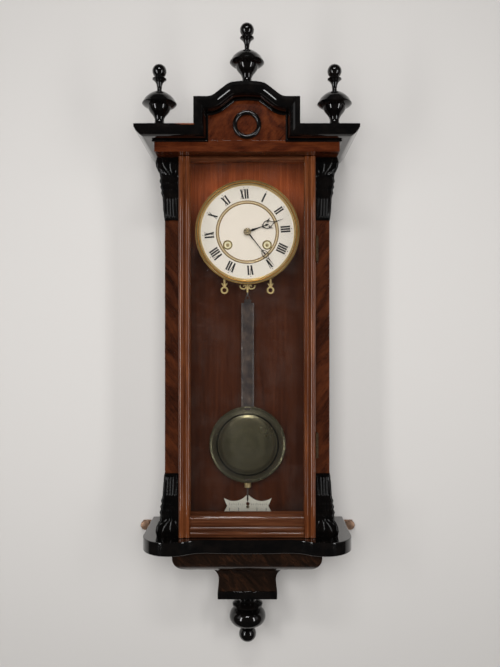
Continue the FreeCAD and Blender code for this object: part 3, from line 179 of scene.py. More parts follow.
# the turn that lays a pattern's grain along the piece
grains = {"x": (0, math.radians(90), 0), "z": (0, 0, 0),
          "slant": (0, math.radians(-38), 0), "slantBack": (0, math.radians(38), 0)}


def veneer(name, grain, dark, middle, light, figure, shift=(0, 0, 0), gloss=0.24, contrast=1.0, reach=0.09,
           paintedTopLight=None):
    # french polished walnut: broad figure, fine streaks and short dark pores along the grain
    paint = Paint(name)
    along = paint.place(grains[grain], (1, 1, reach), shift)
    closer = paint.place(grains[grain], (1, 1, reach * 0.4), shift)
    broad = paint.noise(along, figure, 3.0, 0.55, 1.4)
    streak = paint.noise(closer, figure * 7, 3.0, 0.6, 0.4)
    fine = paint.noise(closer, figure * 32, 2.0, 0.6)
    pores = paint.noise(closer, figure * 58, 1.0, 0.5)
    pattern = broad * (0.55 * contrast) + streak * 0.3 + fine * (0.27 - 0.1 * contrast) + 0.12 * (1 - contrast)
    colour = paint.ramp(pattern, [(0.34, dark), (0.5, middle), (0.68, light)])
    pore = paint.range(pores, 0.60, 0.72)
    colour = paint.mix(pore * 0.55, colour, tuple(c * 0.3 for c in dark))
    if paintedTopLight:
        # painted light: lighter towards the top, on the front face alone
        spot = paint.place()
        low, high = (at(0, 0, paintedTopLight[end]).z for end in ("low", "high"))
        back, front = (at(0, paintedTopLight[end], 0).y for end in ("back", "front"))
        lift = paint.range(paint.axis(spot, 2) + (broad - 0.5) * paintedTopLight["waver"], low, high)
        lift = lift * paint.range(paint.axis(spot, 1), front, back, 1.0, 0.0)
        colour = paint.mix(lift, colour, paintedTopLight["gain"], "MULTIPLY")
    rough = paint.range(streak, 0.3, 0.7, gloss, gloss + 0.1)
    normal = paint.bump(pore * -0.5 + streak * 0.3, 0.08, 0.0003)
    paint.surface({"Base Color": colour, "Roughness": rough, "Normal": normal, "Specular IOR Level": 0.04,
                   "Coat Weight": 0.9, "Coat Roughness": 0.035})


def ebonised(name, gloss=0.13, tone=1.0, rubbed=None, coat=0.9, shine=0.1):
    # black stained and polished pear wood, with brown showing through where it is rubbed
    paint = Paint(name)
    coords = paint.place()
    cloud = paint.noise(coords, 60.0, 3.0, 0.6)
    fine = paint.noise(coords, 900.0, 2.0, 0.6)
    colour = paint.mix(paint.range(cloud, 0.4, 0.7), tuple(c * tone for c in (0.0014, 0.0012, 0.0012)),
                       tuple(c * tone for c in (0.0036, 0.0026, 0.0022)))
    if rubbed:
        # a long worn strip along an edge, given by its middle and half length
        middle, reach = rubbed
        away = paint.away(coords, middle, (1, 0.3, 9))
        rub = paint.noise(coords, 160.0, 3.0, 0.6) - paint.range(away, reach * 0.4, reach * 1.15)
        colour = paint.mix(paint.range(rub, -0.15, 0.25) * 0.9, colour, (0.16, 0.044, 0.015))
    rough = paint.range(cloud, 0.35, 0.7, gloss, gloss + 0.07)
    normal = paint.bump(fine * 0.3 + cloud * 0.3, 0.03, 0.0005)
    paint.surface({"Base Color": colour, "Roughness": rough, "Normal": normal, "Specular IOR Level": shine,
                   "Coat Weight": coat, "Coat Roughness": 0.03})


def brass(name, colour, rough, tarnish, spot=(0.22, 0.13, 0.05), scale=160.0, metallic=1.0, uneven=0.12,
          centre=clock["dialHeight"]):
    # polished brass with a little tarnish, in one colour or in bands of colour round a centre, which hold painted
    # highlights and shade of turned rings
    paint = Paint(name)
    coords = paint.place()
    cloud = paint.noise(coords, scale, 4.0, 0.62)
    fine = paint.noise(coords, scale * 9, 2.0, 0.6)
    stain = paint.range(cloud, 0.48, 0.72) * tarnish
    if isinstance(colour, list):
        low, high = colour[0][0], colour[-1][0]
        radius = paint.away(coords, at(0, 0, centre), (1, 0, 1))
        share = paint.range(radius, low / 1000, high / 1000)
        colour = paint.ramp(share, [((reach - low) / (high - low), hue) for reach, hue in colour])
    tone = paint.mix(stain, colour, spot)
    roughness = paint.range(cloud, 0.3, 0.7, rough, rough + uneven)
    normal = paint.bump(fine, 0.06, 0.0002)
    paint.surface({"Base Color": tone, "Roughness": roughness, "Metallic": metallic, "Normal": normal})


def metal(name, colour, rough, scale=300.0, tint=None):
    paint = Paint(name)
    coords = paint.place()
    cloud = paint.noise(coords, scale, 3.0, 0.6)
    tone = paint.mix(paint.range(cloud, 0.4, 0.7), colour, tint or tuple(c * 0.6 for c in colour))
    normal = paint.bump(paint.noise(coords, scale * 6, 2.0), 0.1, 0.0003)
    paint.surface({"Base Color": tone, "Roughness": paint.range(cloud, 0.3, 0.7, rough, rough + 0.12),
                   "Metallic": 1.0, "Normal": normal})


def enamel(name, colour, aged, rough=0.16):
    paint = Paint(name)
    coords = paint.place()
    cloud = paint.noise(coords, 45.0, 3.0, 0.6)
    speck = paint.noise(coords, 900.0, 2.0, 0.6)
    tone = paint.mix(paint.range(cloud, 0.4, 0.75) * 0.5, colour, aged)
    tone = paint.mix(paint.range(speck, 0.72, 0.78) * 0.35, tone, tuple(c * 0.55 for c in aged))
    paint.surface({"Base Color": tone, "Roughness": paint.range(cloud, 0.3, 0.7, rough, rough + 0.08),
                   "Normal": paint.bump(cloud, 0.04, 0.001)})


def glass(name, haze=0.018):
    # old window glass: it reflects at its surface and lets the rest straight through
    paint = Paint(name)
    coords = paint.place()
    smear = paint.noise(coords, 30.0, 4.0, 0.65)
    dust = paint.noise(coords, 700.0, 3.0, 0.7)
    normal = paint.bump(smear, 0.012, 0.002)
    clear = paint.node("ShaderNodeBsdfTransparent", {}, {"Color": (0.975, 0.972, 0.962)})
    shine = paint.node("ShaderNodeBsdfGlossy", {}, {"Color": (1, 1, 1), "Roughness": 0.03, "Normal": normal})
    film = paint.node("ShaderNodeBsdfDiffuse", {}, {"Color": (0.55, 0.5, 0.46)})
    fresnel = paint.node("ShaderNodeFresnel", {}, {"IOR": 1.45})
    veil = paint.range(dust, 0.5, 0.8) * haze + paint.range(smear, 0.45, 0.75) * (haze * 0.6)
    dusty = paint.node("ShaderNodeMixShader", {}, {"Fac": veil, 1: clear, 2: film})
    whole = paint.node("ShaderNodeMixShader", {}, {"Fac": fresnel, 1: dusty, 2: shine})
    paint.node("ShaderNodeOutputMaterial", {}, {"Surface": whole})
    finish[name] = paint.material


walnut = {"dark": (0.017, 0.0032, 0.0008), "middle": (0.043, 0.0082, 0.0020), "light": (0.084, 0.0195, 0.0050)}
upright = {"dark": (0.012, 0.0032, 0.0014), "middle": (0.031, 0.0080, 0.0032), "light": (0.074, 0.0195, 0.0064)}
russet = {"dark": (0.040, 0.0092, 0.0028), "middle": (0.088, 0.0240, 0.0074), "light": (0.17, 0.052, 0.015)}
plum = {"dark": (0.026, 0.0076, 0.0032), "middle": (0.060, 0.0190, 0.0078), "light": (0.115, 0.041, 0.017)}
shade = {"dark": (0.0030, 0.0016, 0.0009), "middle": (0.0095, 0.0046, 0.0026), "light": (0.028, 0.0112, 0.0052)}
mahogany = {"dark": (0.042, 0.0108, 0.0040), "middle": (0.068, 0.0180, 0.0068), "light": (0.098, 0.0275, 0.0105)}
# painted light on the backboard's front: the heights and depths it spans, its waver and its gain
topLightPaint = {"low": 480.0, "high": 590.0, "back": 5.0, "front": 7.0, "waver": 0.06, "gain": (7.0, 6.02, 4.9)}

# the colour at each radius of a turned ring, in millimetres; these rings of colour hold painted highlights and
# painted shade
# dial ring: a pale middle painted as its highlight and darker lines at its edges painted as shade
trimPaintedLight = [(47.8, (0.24, 0.15, 0.06)), (49.2, (0.36, 0.235, 0.095)), (49.7, (0.74, 0.61, 0.40)),
             (51.5, (0.74, 0.61, 0.40)), (52.0, (0.30, 0.20, 0.08)), (53.4, (0.22, 0.14, 0.055))]
# bezel: bright bands painted as highlights and near-black bands painted as the dark reflections in its grooves
bezelPaintedLight = [(79.0, (0.95, 0.66, 0.28)), (80.5, (0.95, 0.66, 0.28)), (80.7, (0.03, 0.016, 0.007)),
              (82.4, (0.03, 0.016, 0.007)), (82.7, (0.98, 0.50, 0.12)), (84.2, (0.98, 0.48, 0.11)),
              (84.4, (0.02, 0.011, 0.006)), (86.4, (0.02, 0.011, 0.006)), (86.6, (0.98, 0.62, 0.20)),
              (87.6, (0.90, 0.50, 0.13)), (88.0, (0.14, 0.07, 0.03))]
# bob: rings of lighter and darker tone for its turning, a bright line at the edge of the dome painted as a highlight
# and a near-black ring painted as shade in the groove beside it
bobTurningAndPaintedLight = [(0.0, (0.42, 0.385, 0.235)), (9.0, (0.50, 0.455, 0.28)), (17.0, (0.40, 0.37, 0.225)),
            (26.0, (0.48, 0.44, 0.27)), (35.0, (0.40, 0.365, 0.22)), (44.0, (0.50, 0.455, 0.28)),
            (50.4, (0.44, 0.40, 0.25)), (50.8, (0.80, 0.73, 0.46)), (51.9, (0.80, 0.73, 0.46)),
            (52.2, (0.035, 0.03, 0.02)), (54.4, (0.035, 0.03, 0.02)), (54.9, (0.42, 0.39, 0.26)),
            (61.0, (0.50, 0.46, 0.30)), (67.0, (0.38, 0.35, 0.22))]

veneer("walnutLeft", "slantBack", **upright, figure=26.0, reach=0.4, contrast=1.15)
veneer("walnutRight", "slant", **upright, figure=26.0, shift=(0.4, 0, 0.1), reach=0.4, contrast=1.15)
veneer("walnutLevel", "x", **walnut, figure=46.0, shift=(0.3, 0, 0.7), reach=0.3)
veneer("walnutBurr", "slant", **walnut, figure=42.0, contrast=1.2, reach=0.75)
veneer("walnutDoor", "z", **russet, figure=60.0, shift=(0.11, 0.2, 0))
veneer("walnutRail", "x", **plum, figure=60.0, shift=(0.5, 0.2, 0))
veneer("walnutBase", "slantBack", **shade, figure=40.0, reach=0.35)
# the backboard, with painted light towards its top
veneer("backWood", "z", **mahogany, figure=75.0, shift=(0.9, 0, 0.2), gloss=0.4, contrast=0.8, reach=0.06,
       paintedTopLight=topLightPaint)
ebonised("ebony")
ebonised("ebonyRubbed", rubbed=(at(-90.0, 185.0, 657.3), 0.024))
# brass: its colour, roughness and tarnish, the tarnish's colour, the size of its clouds, metallic and unevenness
brass("brassBright", (0.94, 0.70, 0.31), 0.16, 0.15, metallic=0.5)
brass("brassPlate", (0.80, 0.62, 0.32), 0.3, 0.25, metallic=0.8)
brass("brassOld", (0.34, 0.21, 0.14), 0.32, 0.6, (0.12, 0.07, 0.045), metallic=0.7)
metal("steel", (0.42, 0.41, 0.40), 0.32)
metal("blueSteel", (0.045, 0.045, 0.052), 0.25, 500.0, (0.03, 0.028, 0.03))
enamel("enamelWhite", (0.76, 0.715, 0.65), (0.715, 0.665, 0.59))
enamel("enamelCentre", (0.79, 0.725, 0.645), (0.755, 0.69, 0.605), 0.3)
enamel("scaleWhite", (0.86, 0.84, 0.74), (0.74, 0.70, 0.58), 0.4)
glass("glass")
enamel("ink", (0.006, 0.006, 0.007), (0.010, 0.009, 0.009), 0.4)
brass("brassBezel", bezelPaintedLight, 0.14, 0.1, (0.42, 0.24, 0.08), 50.0, 0.6, 0.04)
brass("brassTrim", trimPaintedLight, 0.2, 0.1, (0.42, 0.24, 0.08), 50.0, 0.35, 0.05)
brass("brassGrommet", (0.27, 0.205, 0.07), 0.22, 0.15, metallic=0.5)
# pale cream and barely metal: a painted highlight, the bright reflection inside each winding cup
brass("brassCupPaintedHighlight", (0.93, 0.87, 0.62), 0.3, 0.1, metallic=0.15)
brass("brassBoss", (0.55, 0.46, 0.31), 0.2, 0.3, (0.25, 0.2, 0.13), metallic=0.8)
brass("brassDark", (0.07, 0.045, 0.025), 0.4, 0.5, (0.03, 0.02, 0.012))
brass("brassBob", bobTurningAndPaintedLight, 0.24, 0.12, (0.26, 0.235, 0.14), 26.0, 0.93, 0.04, clock["bobHeight"])
# the rod's black is made 26 times lighter: a painted reflection of glare on the glass in front of it
ebonised("ebonyRodPaintedGlare", gloss=0.38, tone=26.0, coat=0.12)
ebonised("ebonyCarved", gloss=0.2, tone=0.8, coat=0.22, shine=0.08)
print("materials made:", len(finish))


def finished(bm, name, body, material, replaced=(), angle=32.0, recalc=True, even=False):
    if recalc:
        bmesh.ops.remove_doubles(bm, verts=bm.verts, dist=1e-6)
        bmesh.ops.recalc_face_normals(bm, faces=bm.faces)
    mesh = bpy.data.meshes.new(name)
    bm.to_mesh(mesh)
    bm.free()
    mesh.materials.append(finish[material])
    mesh.shade_smooth()
    mesh.set_sharp_from_angle(angle=math.radians(angle))
    piece = bpy.data.objects.new(name, mesh)
    bpy.context.scene.collection.objects.link(piece)
    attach(piece, body)
    if replaced:
        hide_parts(*replaced)
    if even:
        # large flat faces keep their own direction next to narrow rounded ones
        weighted = piece.modifiers.new("even", "WEIGHTED_NORMAL")
        weighted.keep_sharp = True
        weighted.weight = 90


def eased(bm, edges, width, segments, clamp=False):
    bmesh.ops.bevel(bm, geom=edges, offset=width / 1000, offset_type="OFFSET", affect="EDGES", segments=segments,
                    profile=0.5, material=-1, clamp_overlap=clamp)


def carried(node, material, bevel=0.0, angle=32.0):
    # the node's own shape with its facets merged and its edges eased
    bm = bmesh.new()
    bm.from_mesh(nodes[node].data)
    bmesh.ops.remove_doubles(bm, verts=bm.verts, dist=5e-6)
    if bevel:
        bmesh.ops.dissolve_limit(bm, angle_limit=math.radians(0.6), verts=bm.verts, edges=bm.edges)
        hard = [edge for edge in bm.edges
                if len(edge.link_faces) == 2 and edge.calc_face_angle(0) > math.radians(angle)]
        eased(bm, hard, bevel, 2, True)
    body = nodes[node]["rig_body"]
    finished(bm, node + "Finished", body, material, (node,), angle, False, True)


def painted(node, material):
    mesh = nodes[node].data
    mesh.materials.clear()
    mesh.materials.append(finish[material])


def bent(points, step=12.0):
    # a list of points in which ("arc", middle, end) bends the line, made into short runs
    line = [Vector(points[0])]
    for item in points[1:]:
        if item[0] != "arc":
            line.append(Vector(item))
            continue
        start, mid, end = line[-1], Vector(item[1]), Vector(item[2])
        a, b = mid - start, end - start
        cross = 2 * (a.x * b.y - a.y * b.x)
        centre = start + Vector((b.y * a.length_squared - a.y * b.length_squared,
                                 a.x * b.length_squared - b.x * a.length_squared)) / cross
        spoke = start - centre
        sweep = spoke.angle_signed(end - centre, 0)
        middleSweep = spoke.angle_signed(mid - centre, 0)
        if middleSweep * sweep < 0 or abs(middleSweep) > abs(sweep):
            sweep -= math.copysign(2 * math.pi, sweep)
        count = max(3, round(abs(math.degrees(sweep)) / step))
        for k in range(1, count + 1):
            line.append(centre + Matrix.Rotation(-sweep * k / count, 2) @ spoke)
        line[-1] = end
    return line


def turn(bm, points, centre, out, steps=72, step=12.0):
    # a profile of (radius, along) pairs spun about an axis that points out of the wall or up
    axis = Vector((0, -1, 0)) if out else Vector((0, 0, 1))
    verts = [bm.verts.new(centre + Vector((p.x, 0, 0)) / 1000 + axis * p.y / 1000) for p in bent(points, step)]
    edges = [bm.edges.new(pair) for pair in zip(verts, verts[1:])]
    bmesh.ops.spin(bm, geom=verts + edges, cent=centre, axis=axis, angle=2 * math.pi, steps=steps, use_merge=True)
    bmesh.ops.remove_doubles(bm, verts=bm.verts, dist=2e-6)


def turned(name, points, centre, out, body, slot, material, replaced=(), steps=72, angle=28.0, step=12.0):
    bm = bmesh.new()
    turn(bm, points, centre, out, steps, step)
    finished(bm, name, body, material, replaced, angle)


def slab(bm, corners, thickness):
    # a flat outline given as points in space, made solid towards the viewer
    face = bm.faces.new([bm.verts.new(corner) for corner in corners])
    made = bmesh.ops.extrude_face_region(bm, geom=[face])
    top = [item for item in made["geom"] if isinstance(item, bmesh.types.BMVert)]
    bmesh.ops.translate(bm, verts=top, vec=Vector((0, -thickness / 1000, 0)))


# pieces whose own shape is already the finished one
carried("backboard", "backWood")
for node, material, bevel in (
        ("case_side_left", "walnutLeft", 0.5), ("case_side_right", "walnutRight", 0.5), ("tympanum", "walnutBurr", 0),
        ("door_stile_left", "walnutDoor", 0), ("door_stile_right", "walnutDoor", 0),
        ("door_rail_top", "walnutRail", 0), ("door_rail_bottom", "walnutRail", 0)):
    carried(node, material, bevel)
for node in ("steady_screw_left", "steady_screw_right", "steady_brackets"):
    carried(node, "brassOld")
ownMesh = {
    "brassPlate": ("front_plate", "back_plate", "time_barrel", "strike_barrel", "intermediate_wheel", "centre_wheel",
                   "third_wheel", "escape_wheel", "minute_wheel", "hour_wheel", "hanger_plate", "time_arbor",
                   "strike_arbor"),
    "brassDark": ("case_hinge_leaves", "door_fittings", "door_catch"),
    "steel": ("anchor", "suspension", "gong", "hammer"),
    "glass": ("door_glass", "side_glasses")}
for material, group in ownMesh.items():
    for node in group:
        painted(node, material)
for node in ("movement_bracket", "bracket_screws"):
    carried(node, "brassBright", 0.35, 25.0)


def plank(bm, left, right, back, front, low, high):
    verts = bmesh.ops.create_cube(bm, size=1.0)["verts"]
    bmesh.ops.scale(bm, verts=verts, vec=((right - left) / 1000, (front - back) / 1000, (high - low) / 1000))
    bmesh.ops.translate(bm, verts=verts, vec=at((left + right) / 2, (back + front) / 2, (low + high) / 2))
    return verts


crown = {"half": 147.3, "inside": 138.3, "behind": 148.0, "face": 157.0, "low": 621.0, "top": 656.0, "opening": 81.2,
         "openingLow": 639.0, "soffitTop": 629.0, "well": 120.0, "wellFront": 107.0, "lid": (646.0, 650.0),
         "block": 26.0, "blockTop": 657.4, "blockGap": 0.1, "wallGap": 0.2, "board": 14.0, "edge": 0.4}
half, inside, behind, face, low = (crown[key] for key in ("half", "inside", "behind", "face", "low"))
opening, soffit, board, gap = (crown[key] for key in ("opening", "soffitTop", "board", "blockGap"))
bm = bmesh.new()
slab(bm, [at(x, behind, z) for x, z in (
    (-half, low), (half, low), (half, crown["top"]), (opening, crown["top"]), (opening, crown["openingLow"]),
    (-opening, crown["openingLow"]), (-opening, crown["top"]), (-half, crown["top"]))], face - behind)
plank(bm, -inside, inside, crown["wellFront"], behind, low, soffit)
plank(bm, -inside, inside, board, behind, *crown["lid"])
for side in (-1, 1):
    plank(bm, *sorted((side * inside, side * half)), crown["wallGap"], behind, low, crown["top"])
    plank(bm, *sorted((side * crown["well"], side * inside)), board, crown["wellFront"], low, soffit)
    plank(bm, *sorted((side * (half - crown["block"]), side * (half - gap))), face - crown["block"], face - gap,
          soffit, crown["blockTop"])
hard = [edge for edge in bm.edges if edge.calc_face_angle(0) > 0.5]
eased(bm, hard, crown["edge"], 2)
finished(bm, "crownBoarded", "case", "walnutLevel", ("crown_box",), 24.0, even=True)
print("case made")

moulding = {
    "rise": 636.0, "face": 157.0, "side": 147.3, "pediment": 82.7, "shoulder": 699.5, "archTop": 723.2,
    "crownRadius": 150.0, "crownAngle": 8.0, "turnRadius": 26.0, "slope": 38.0, "footRadius": 20.0, "joint": 0.12,
    "wallGap": 0.2,
    # (across, out) from the inner edge: bead, cove and fillet with eased corners
    "width": 21.5, "section": [
        (0, 0.02), (0, 1.5), ("arc", (2.0, 3.3), (4.0, 1.5)), (4.0, 5.5), ("arc", (7.36835, 20.70265), (15.5, 27.0)),
        (15.5, 27.65), (15.85, 28.0), (21.0, 28.0), (21.5, 27.5), (21.5, 0.02)]}


def archLine(inset):
    # (across, height) from the shoulder to the middle of the arch, moved inwards by the inset
    crown, bend = math.radians(moulding["crownAngle"]), math.radians(moulding["slope"])
    wide, tight, foot = (moulding[key] for key in ("crownRadius", "turnRadius", "footRadius"))
    centre = moulding["archTop"] - wide
    turnX, turnZ = (wide - tight) * math.sin(crown), centre + (wide - tight) * math.cos(crown)
    drop = turnZ + tight * math.cos(bend) - moulding["shoulder"]
    run = (drop - foot * (1 - math.cos(bend))) / math.tan(bend)
    footX = turnX + tight * math.sin(bend) + run + foot * math.sin(bend)
    line = []
    for x, z, radius, start, stop, steps in (
            (footX, moulding["shoulder"] + foot, -(foot + inset), 0, bend, 10),
            (turnX, turnZ, tight - inset, bend, crown, 10), (0, centre, wide - inset, crown, 0, 4)):
        for k in range(steps + 1):
            angle = start + (stop - start) * k / steps
            line.append((x + radius * math.sin(angle), z + radius * math.cos(angle)))
    return line


def loft(bm, rows):
    # closed sections joined one after the other, with flat ends
    rings = [[bm.verts.new(point) for point in row] for row in rows]
    for one, two in zip(rings, rings[1:]):
        for k in range(len(one)):
            j = (k + 1) % len(one)
            bm.faces.new((one[k], one[j], two[j], two[k]))
    bm.faces.new(rings[0])
    bm.faces.new(rings[-1])


profile = bent(moulding["section"], 7.0)
face, side, rise, joint = (moulding[key] for key in ("face", "side", "rise", "joint"))
inner, spring = moulding["pediment"] - moulding["width"], moulding["shoulder"] - moulding["width"]
for across, name in ((-1, "left"), (1, "right")):
    bm = bmesh.new()
    loft(bm, [
        [at(across * (side + p), moulding["wallGap"], rise + w) for w, p in profile],
        [at(across * (side + p), face + p, rise + w) for w, p in profile],
        [at(across * (inner + w + joint), face + p, rise + w) for w, p in profile]])
    finished(bm, "cornice_" + name + "_run", "case", "ebonyRubbed" if across < 0 else "ebony",
             ("cornice_" + name,), 24.0, even=True)
bm = bmesh.new()
seam = joint / 2
for across in (-1, 1):
    loft(bm, [
        [at(across * (inner + w), face + p, rise + w + seam) for w, p in profile],
        [at(across * (inner + w), face + p, spring + w - seam) for w, p in profile]])
    lines = [archLine(moulding["width"] - w) for w, p in profile]
    rows = [[at(across * (inner + w), face + p, spring + w + seam) for w, p in profile]]
    for step in range(len(lines[0])):
        rows.append([at(across * max(line[step][0], seam), face + p, line[step][1])
                     for line, (w, p) in zip(lines, profile)])
    loft(bm, rows)
finished(bm, "pedimentRun", "case", "ebony", ("pediment_moulding",), 24.0, even=True)

# the right half of the shelf's outline, from the wall round to the middle of its front
shelf = {"thickness": 22.0, "edge": 1.6, "half": [
    (172.0, 0.2), (172.0, 113.0), ("arc", (161.0, 142.1), (125.0, 158.6)), ("arc", (112.0, 156.6), (98.0, 150.4)),
    ("arc", (84.0, 143.6), (66.0, 141.0)), ("arc", (34.4, 143.4), (0, 144.0))]}
outline = bent(shelf["half"], 3.0)
bm = bmesh.new()
around = [(p.x, p.y) for p in outline] + [(-p.x, p.y) for p in reversed(outline[:-1])]
under = bm.faces.new([bm.verts.new(at(x, depth, -shelf["thickness"])) for x, depth in around])
made = bmesh.ops.extrude_face_region(bm, geom=[under])
top = [item for item in made["geom"] if isinstance(item, bmesh.types.BMVert)]
bmesh.ops.translate(bm, verts=top, vec=(0, 0, shelf["thickness"] / 1000))
rim = [edge for edge in bm.edges if abs(edge.verts[0].co.z - edge.verts[1].co.z) < 1e-6]
eased(bm, rim, shelf["edge"], 3)
finished(bm, "shelfShaped", "case", "ebony", ("shelf",), 24.0, even=True)

# how far the console reaches to the sides and to the front at each height
console = {
    "wallGap": 0.3,
    "front": [(122, -22), (122.2, -36), ("arc", (116.0, -49.5), (103.0, -57.6)),
              ("arc", (98.0, -59.4), (92.0, -60.2)), (64.0, -60.6), ("arc", (52.5, -70.5), (48.5, -88.0)),
              (50.3, -103.8)],
    "side": [(131, -22), (130.5, -36), ("arc", (124.0, -49.5), (113.0, -57.6)),
             ("arc", (109.5, -59.4), (106.0, -60.2)), (98.0, -60.6), ("arc", (88.0, -70.5), (84.0, -88.0)),
             (86.0, -103.8)]}


def reading(line, height):
    # how far out a falling line is at one height
    for one, two in zip(line, line[1:]):
        if two.y <= height:
            return one.x + (two.x - one.x) * (one.y - height) / max(one.y - two.y, 1e-6)
    return line[-1].x


rows, depths = [], bent(console["side"], 4.0)
for wide in bent(console["front"], 5.0):
    deep = reading(depths, wide.y)
    rows.append([at(x, depth, wide.y) for x, depth in (
        (-wide.x, console["wallGap"]), (-wide.x, deep), (wide.x, deep), (wide.x, console["wallGap"]))])
bm = bmesh.new()
loft(bm, rows)
finished(bm, "consoleShaped", "case", "walnutBase", ("console",), 24.0)
print("mouldings made")

# turned pieces, whose profiles are (radius, along) pairs
finial = {
    "profile": [(0, 0), (12.5, 0), (12.5, 2.5), ("arc", (8.6, 8.5), (7.4, 15.5)), ("arc", (9.2, 20.0), (13.4, 25.5)),
                ("arc", (16.6, 30.0), (18.4, 35.2)), ("arc", (23.2, 36.6), (27.4, 40.0)), (27.4, 41.2),
                ("arc", (22.4, 49.5), (14.0, 56.4)), (12.8, 57.2), (8.0, 57.4), ("arc", (4.5, 61.0), (4.0, 66.5)),
                ("arc", (5.6, 73.5), (11.2, 79.4)), (11.2, 80.6), ("arc", (8.4, 81.6), (7.0, 83.8)),
                ("arc", (11.3, 92.7), (0, 104.0))],
    "places": {"finial_left": (-139.5, 657.5), "finial_centre": (0, 723.2), "finial_right": (139.5, 657.5)},
    "depth": 152.0}
for node, (x, height) in finial["places"].items():
    turned(node + "Turned", finial["profile"], at(x, finial["depth"], height), False, "case", "ebonised", "ebony",
           (node,))
drop = {
    "profile": [(0, 0.4), (23.0, 0.4), (23.0, -8.0), ("arc", (16.5, -11.0), (14.8, -18.0)), (22.0, -21.0),
                (26.3, -23.6), (26.3, -26.6), (20.5, -30.5), ("arc", (31.8, -45.5), (19.0, -60.5)), (10.0, -64.0),
                (7.0, -64.2), ("arc", (15.0, -75.0), (0, -90.0))],
    "depth": 50.0, "plateTop": -104.0, "plateLow": -114.0, "plateSkirt": -117.6, "plateHalf": 50.5,
    "plateDepth": 87.0, "plateEdge": 1.2}
bm = bmesh.new()
turn(bm, drop["profile"], at(0, drop["depth"], drop["plateLow"]), False)
plate = plank(bm, -drop["plateHalf"], drop["plateHalf"], 0, drop["plateDepth"], drop["plateSkirt"], drop["plateTop"])
eased(bm, list({edge for vert in plate for edge in vert.link_edges}), drop["plateEdge"], 3)
finished(bm, "pendantTurned", "case", "ebony", ("pendant",))
ring = {"height": 663.0, "profile": [
    (15.5, 157.0), (15.5, 159.2), ("arc", (19.2, 163.2), (22.8, 159.0)), (22.8, 157.0), (15.5, 157.0)]}
turned("ringOrnamentTurned", ring["profile"], at(0, 0, ring["height"]), True, "case", "ebonised", "ebony",
       ("ring_ornament",), 96)
print("turnings made")

# across is counted from the corbel's outer corner and along from its broad end
corbel = {
    "height": 102.0, "inner": 112.5, "case": 136.15, "caseFront": 113.05, "levels": 150, "corner": 3.2,
    "side": [(0, 149.0), (8, 150.4), (15, 149.4), (21, 146.9), (26, 143.9), (34, 143.0), (62, 140.2), (66, 139.4),
             (84, 138.6), (95, 137.6), (102, 136.4)],
    "front": [(0, 122.6), (9, 124.0), (19, 122.6), (25, 121.8), (46, 120.0), (62, 118.8), (102, 116.6)],
    "back": [(0, 90.0), (50, 96.5), (102, 107.5)],
    "frontSteps": 44, "cornerSteps": 5, "sideSteps": 14,
    "rippleStart": 33.5, "ripplePitch": 9.5, "rippleRise": 1.5, "ripples": 3,
    "leafEnd": 31.0, "leafRise": 1.1, "leafCentre": 17.0, "leafLobes": 6.5, "leafFade": 26.0,
    "scallopEnd": 62.0, "scallopRise": 1.1, "scallops": 3,
    "panelStart": 66.0, "panelEnd": 97.5, "panelSink": 1.0, "panelEase": 1.6, "panelInner": (3.0, 4.2),
    "panelOuter": (6.2, 5.0), "flutePitch": 4.6, "bead": 1.3, "beadPitch": 3.6, "beadInset": 2.7, "beadRise": 0.95}


def between(stations, t):
    # a smooth reading of (place, value) stations
    for (t0, v0), (t1, v1) in zip(stations, stations[1:]):
        if t <= t1:
            share = min(max((t - t0) / (t1 - t0), 0), 1)
            share = share * share * (3 - 2 * share) * 0.5 + share * 0.5
            return v0 + (v1 - v0) * share
    return stations[-1][1]


def ease(value, low, high):
    share = min(max((value - low) / (high - low), 0), 1)
    return share * share * (3 - 2 * share)


def carving(u, t, wide):
    # how far the carving stands out, u across and t along
    rise = 0.0
    if t < corbel["leafEnd"]:
        lean = math.atan2(u - corbel["leafCentre"], corbel["leafEnd"] + 4.0 - t)
        lobe = abs(math.cos(lean * corbel["leafLobes"])) ** 0.6
        fade = ease(t, 0, 3) * (1 - ease(t, corbel["leafFade"], corbel["leafEnd"]))
        rise += corbel["leafRise"] * (lobe - 0.75) * fade
    elif t < corbel["scallopEnd"]:
        step = (t - corbel["leafEnd"]) / ((corbel["scallopEnd"] - corbel["leafEnd"]) / corbel["scallops"])
        part = step - math.floor(step)
        arch = 1 - ((u - wide / 2) / (wide / 2)) ** 2
        fan = 0.6 + 0.4 * abs(math.cos((u - wide / 2) * 0.75))
        rise += corbel["scallopRise"] * (1 - part) ** 1.3 * (0.35 + 0.65 * arch) * fan
    start, end, slope = corbel["panelStart"], corbel["panelEnd"], corbel["panelEase"]
    if start < t < end:
        edge = min(ease(u, *corbel["panelInner"]), 1 - ease(u, *(wide - inset for inset in corbel["panelOuter"])),
                   ease(t, start, start + slope), 1 - ease(t, end - slope, end))
        flute = 0.5 + 0.5 * math.cos((u - wide / 2) * 2 * math.pi / corbel["flutePitch"])
        rise -= corbel["panelSink"] * edge * (1 - 0.7 * flute)
        across = (u - (wide - corbel["beadInset"])) / corbel["bead"]
        along = ((t - start) / corbel["beadPitch"] % 1 - 0.5) * corbel["beadPitch"] / corbel["bead"]
        rise += corbel["beadRise"] * math.sqrt(max(0, 1 - across * across - along * along))
    return rise


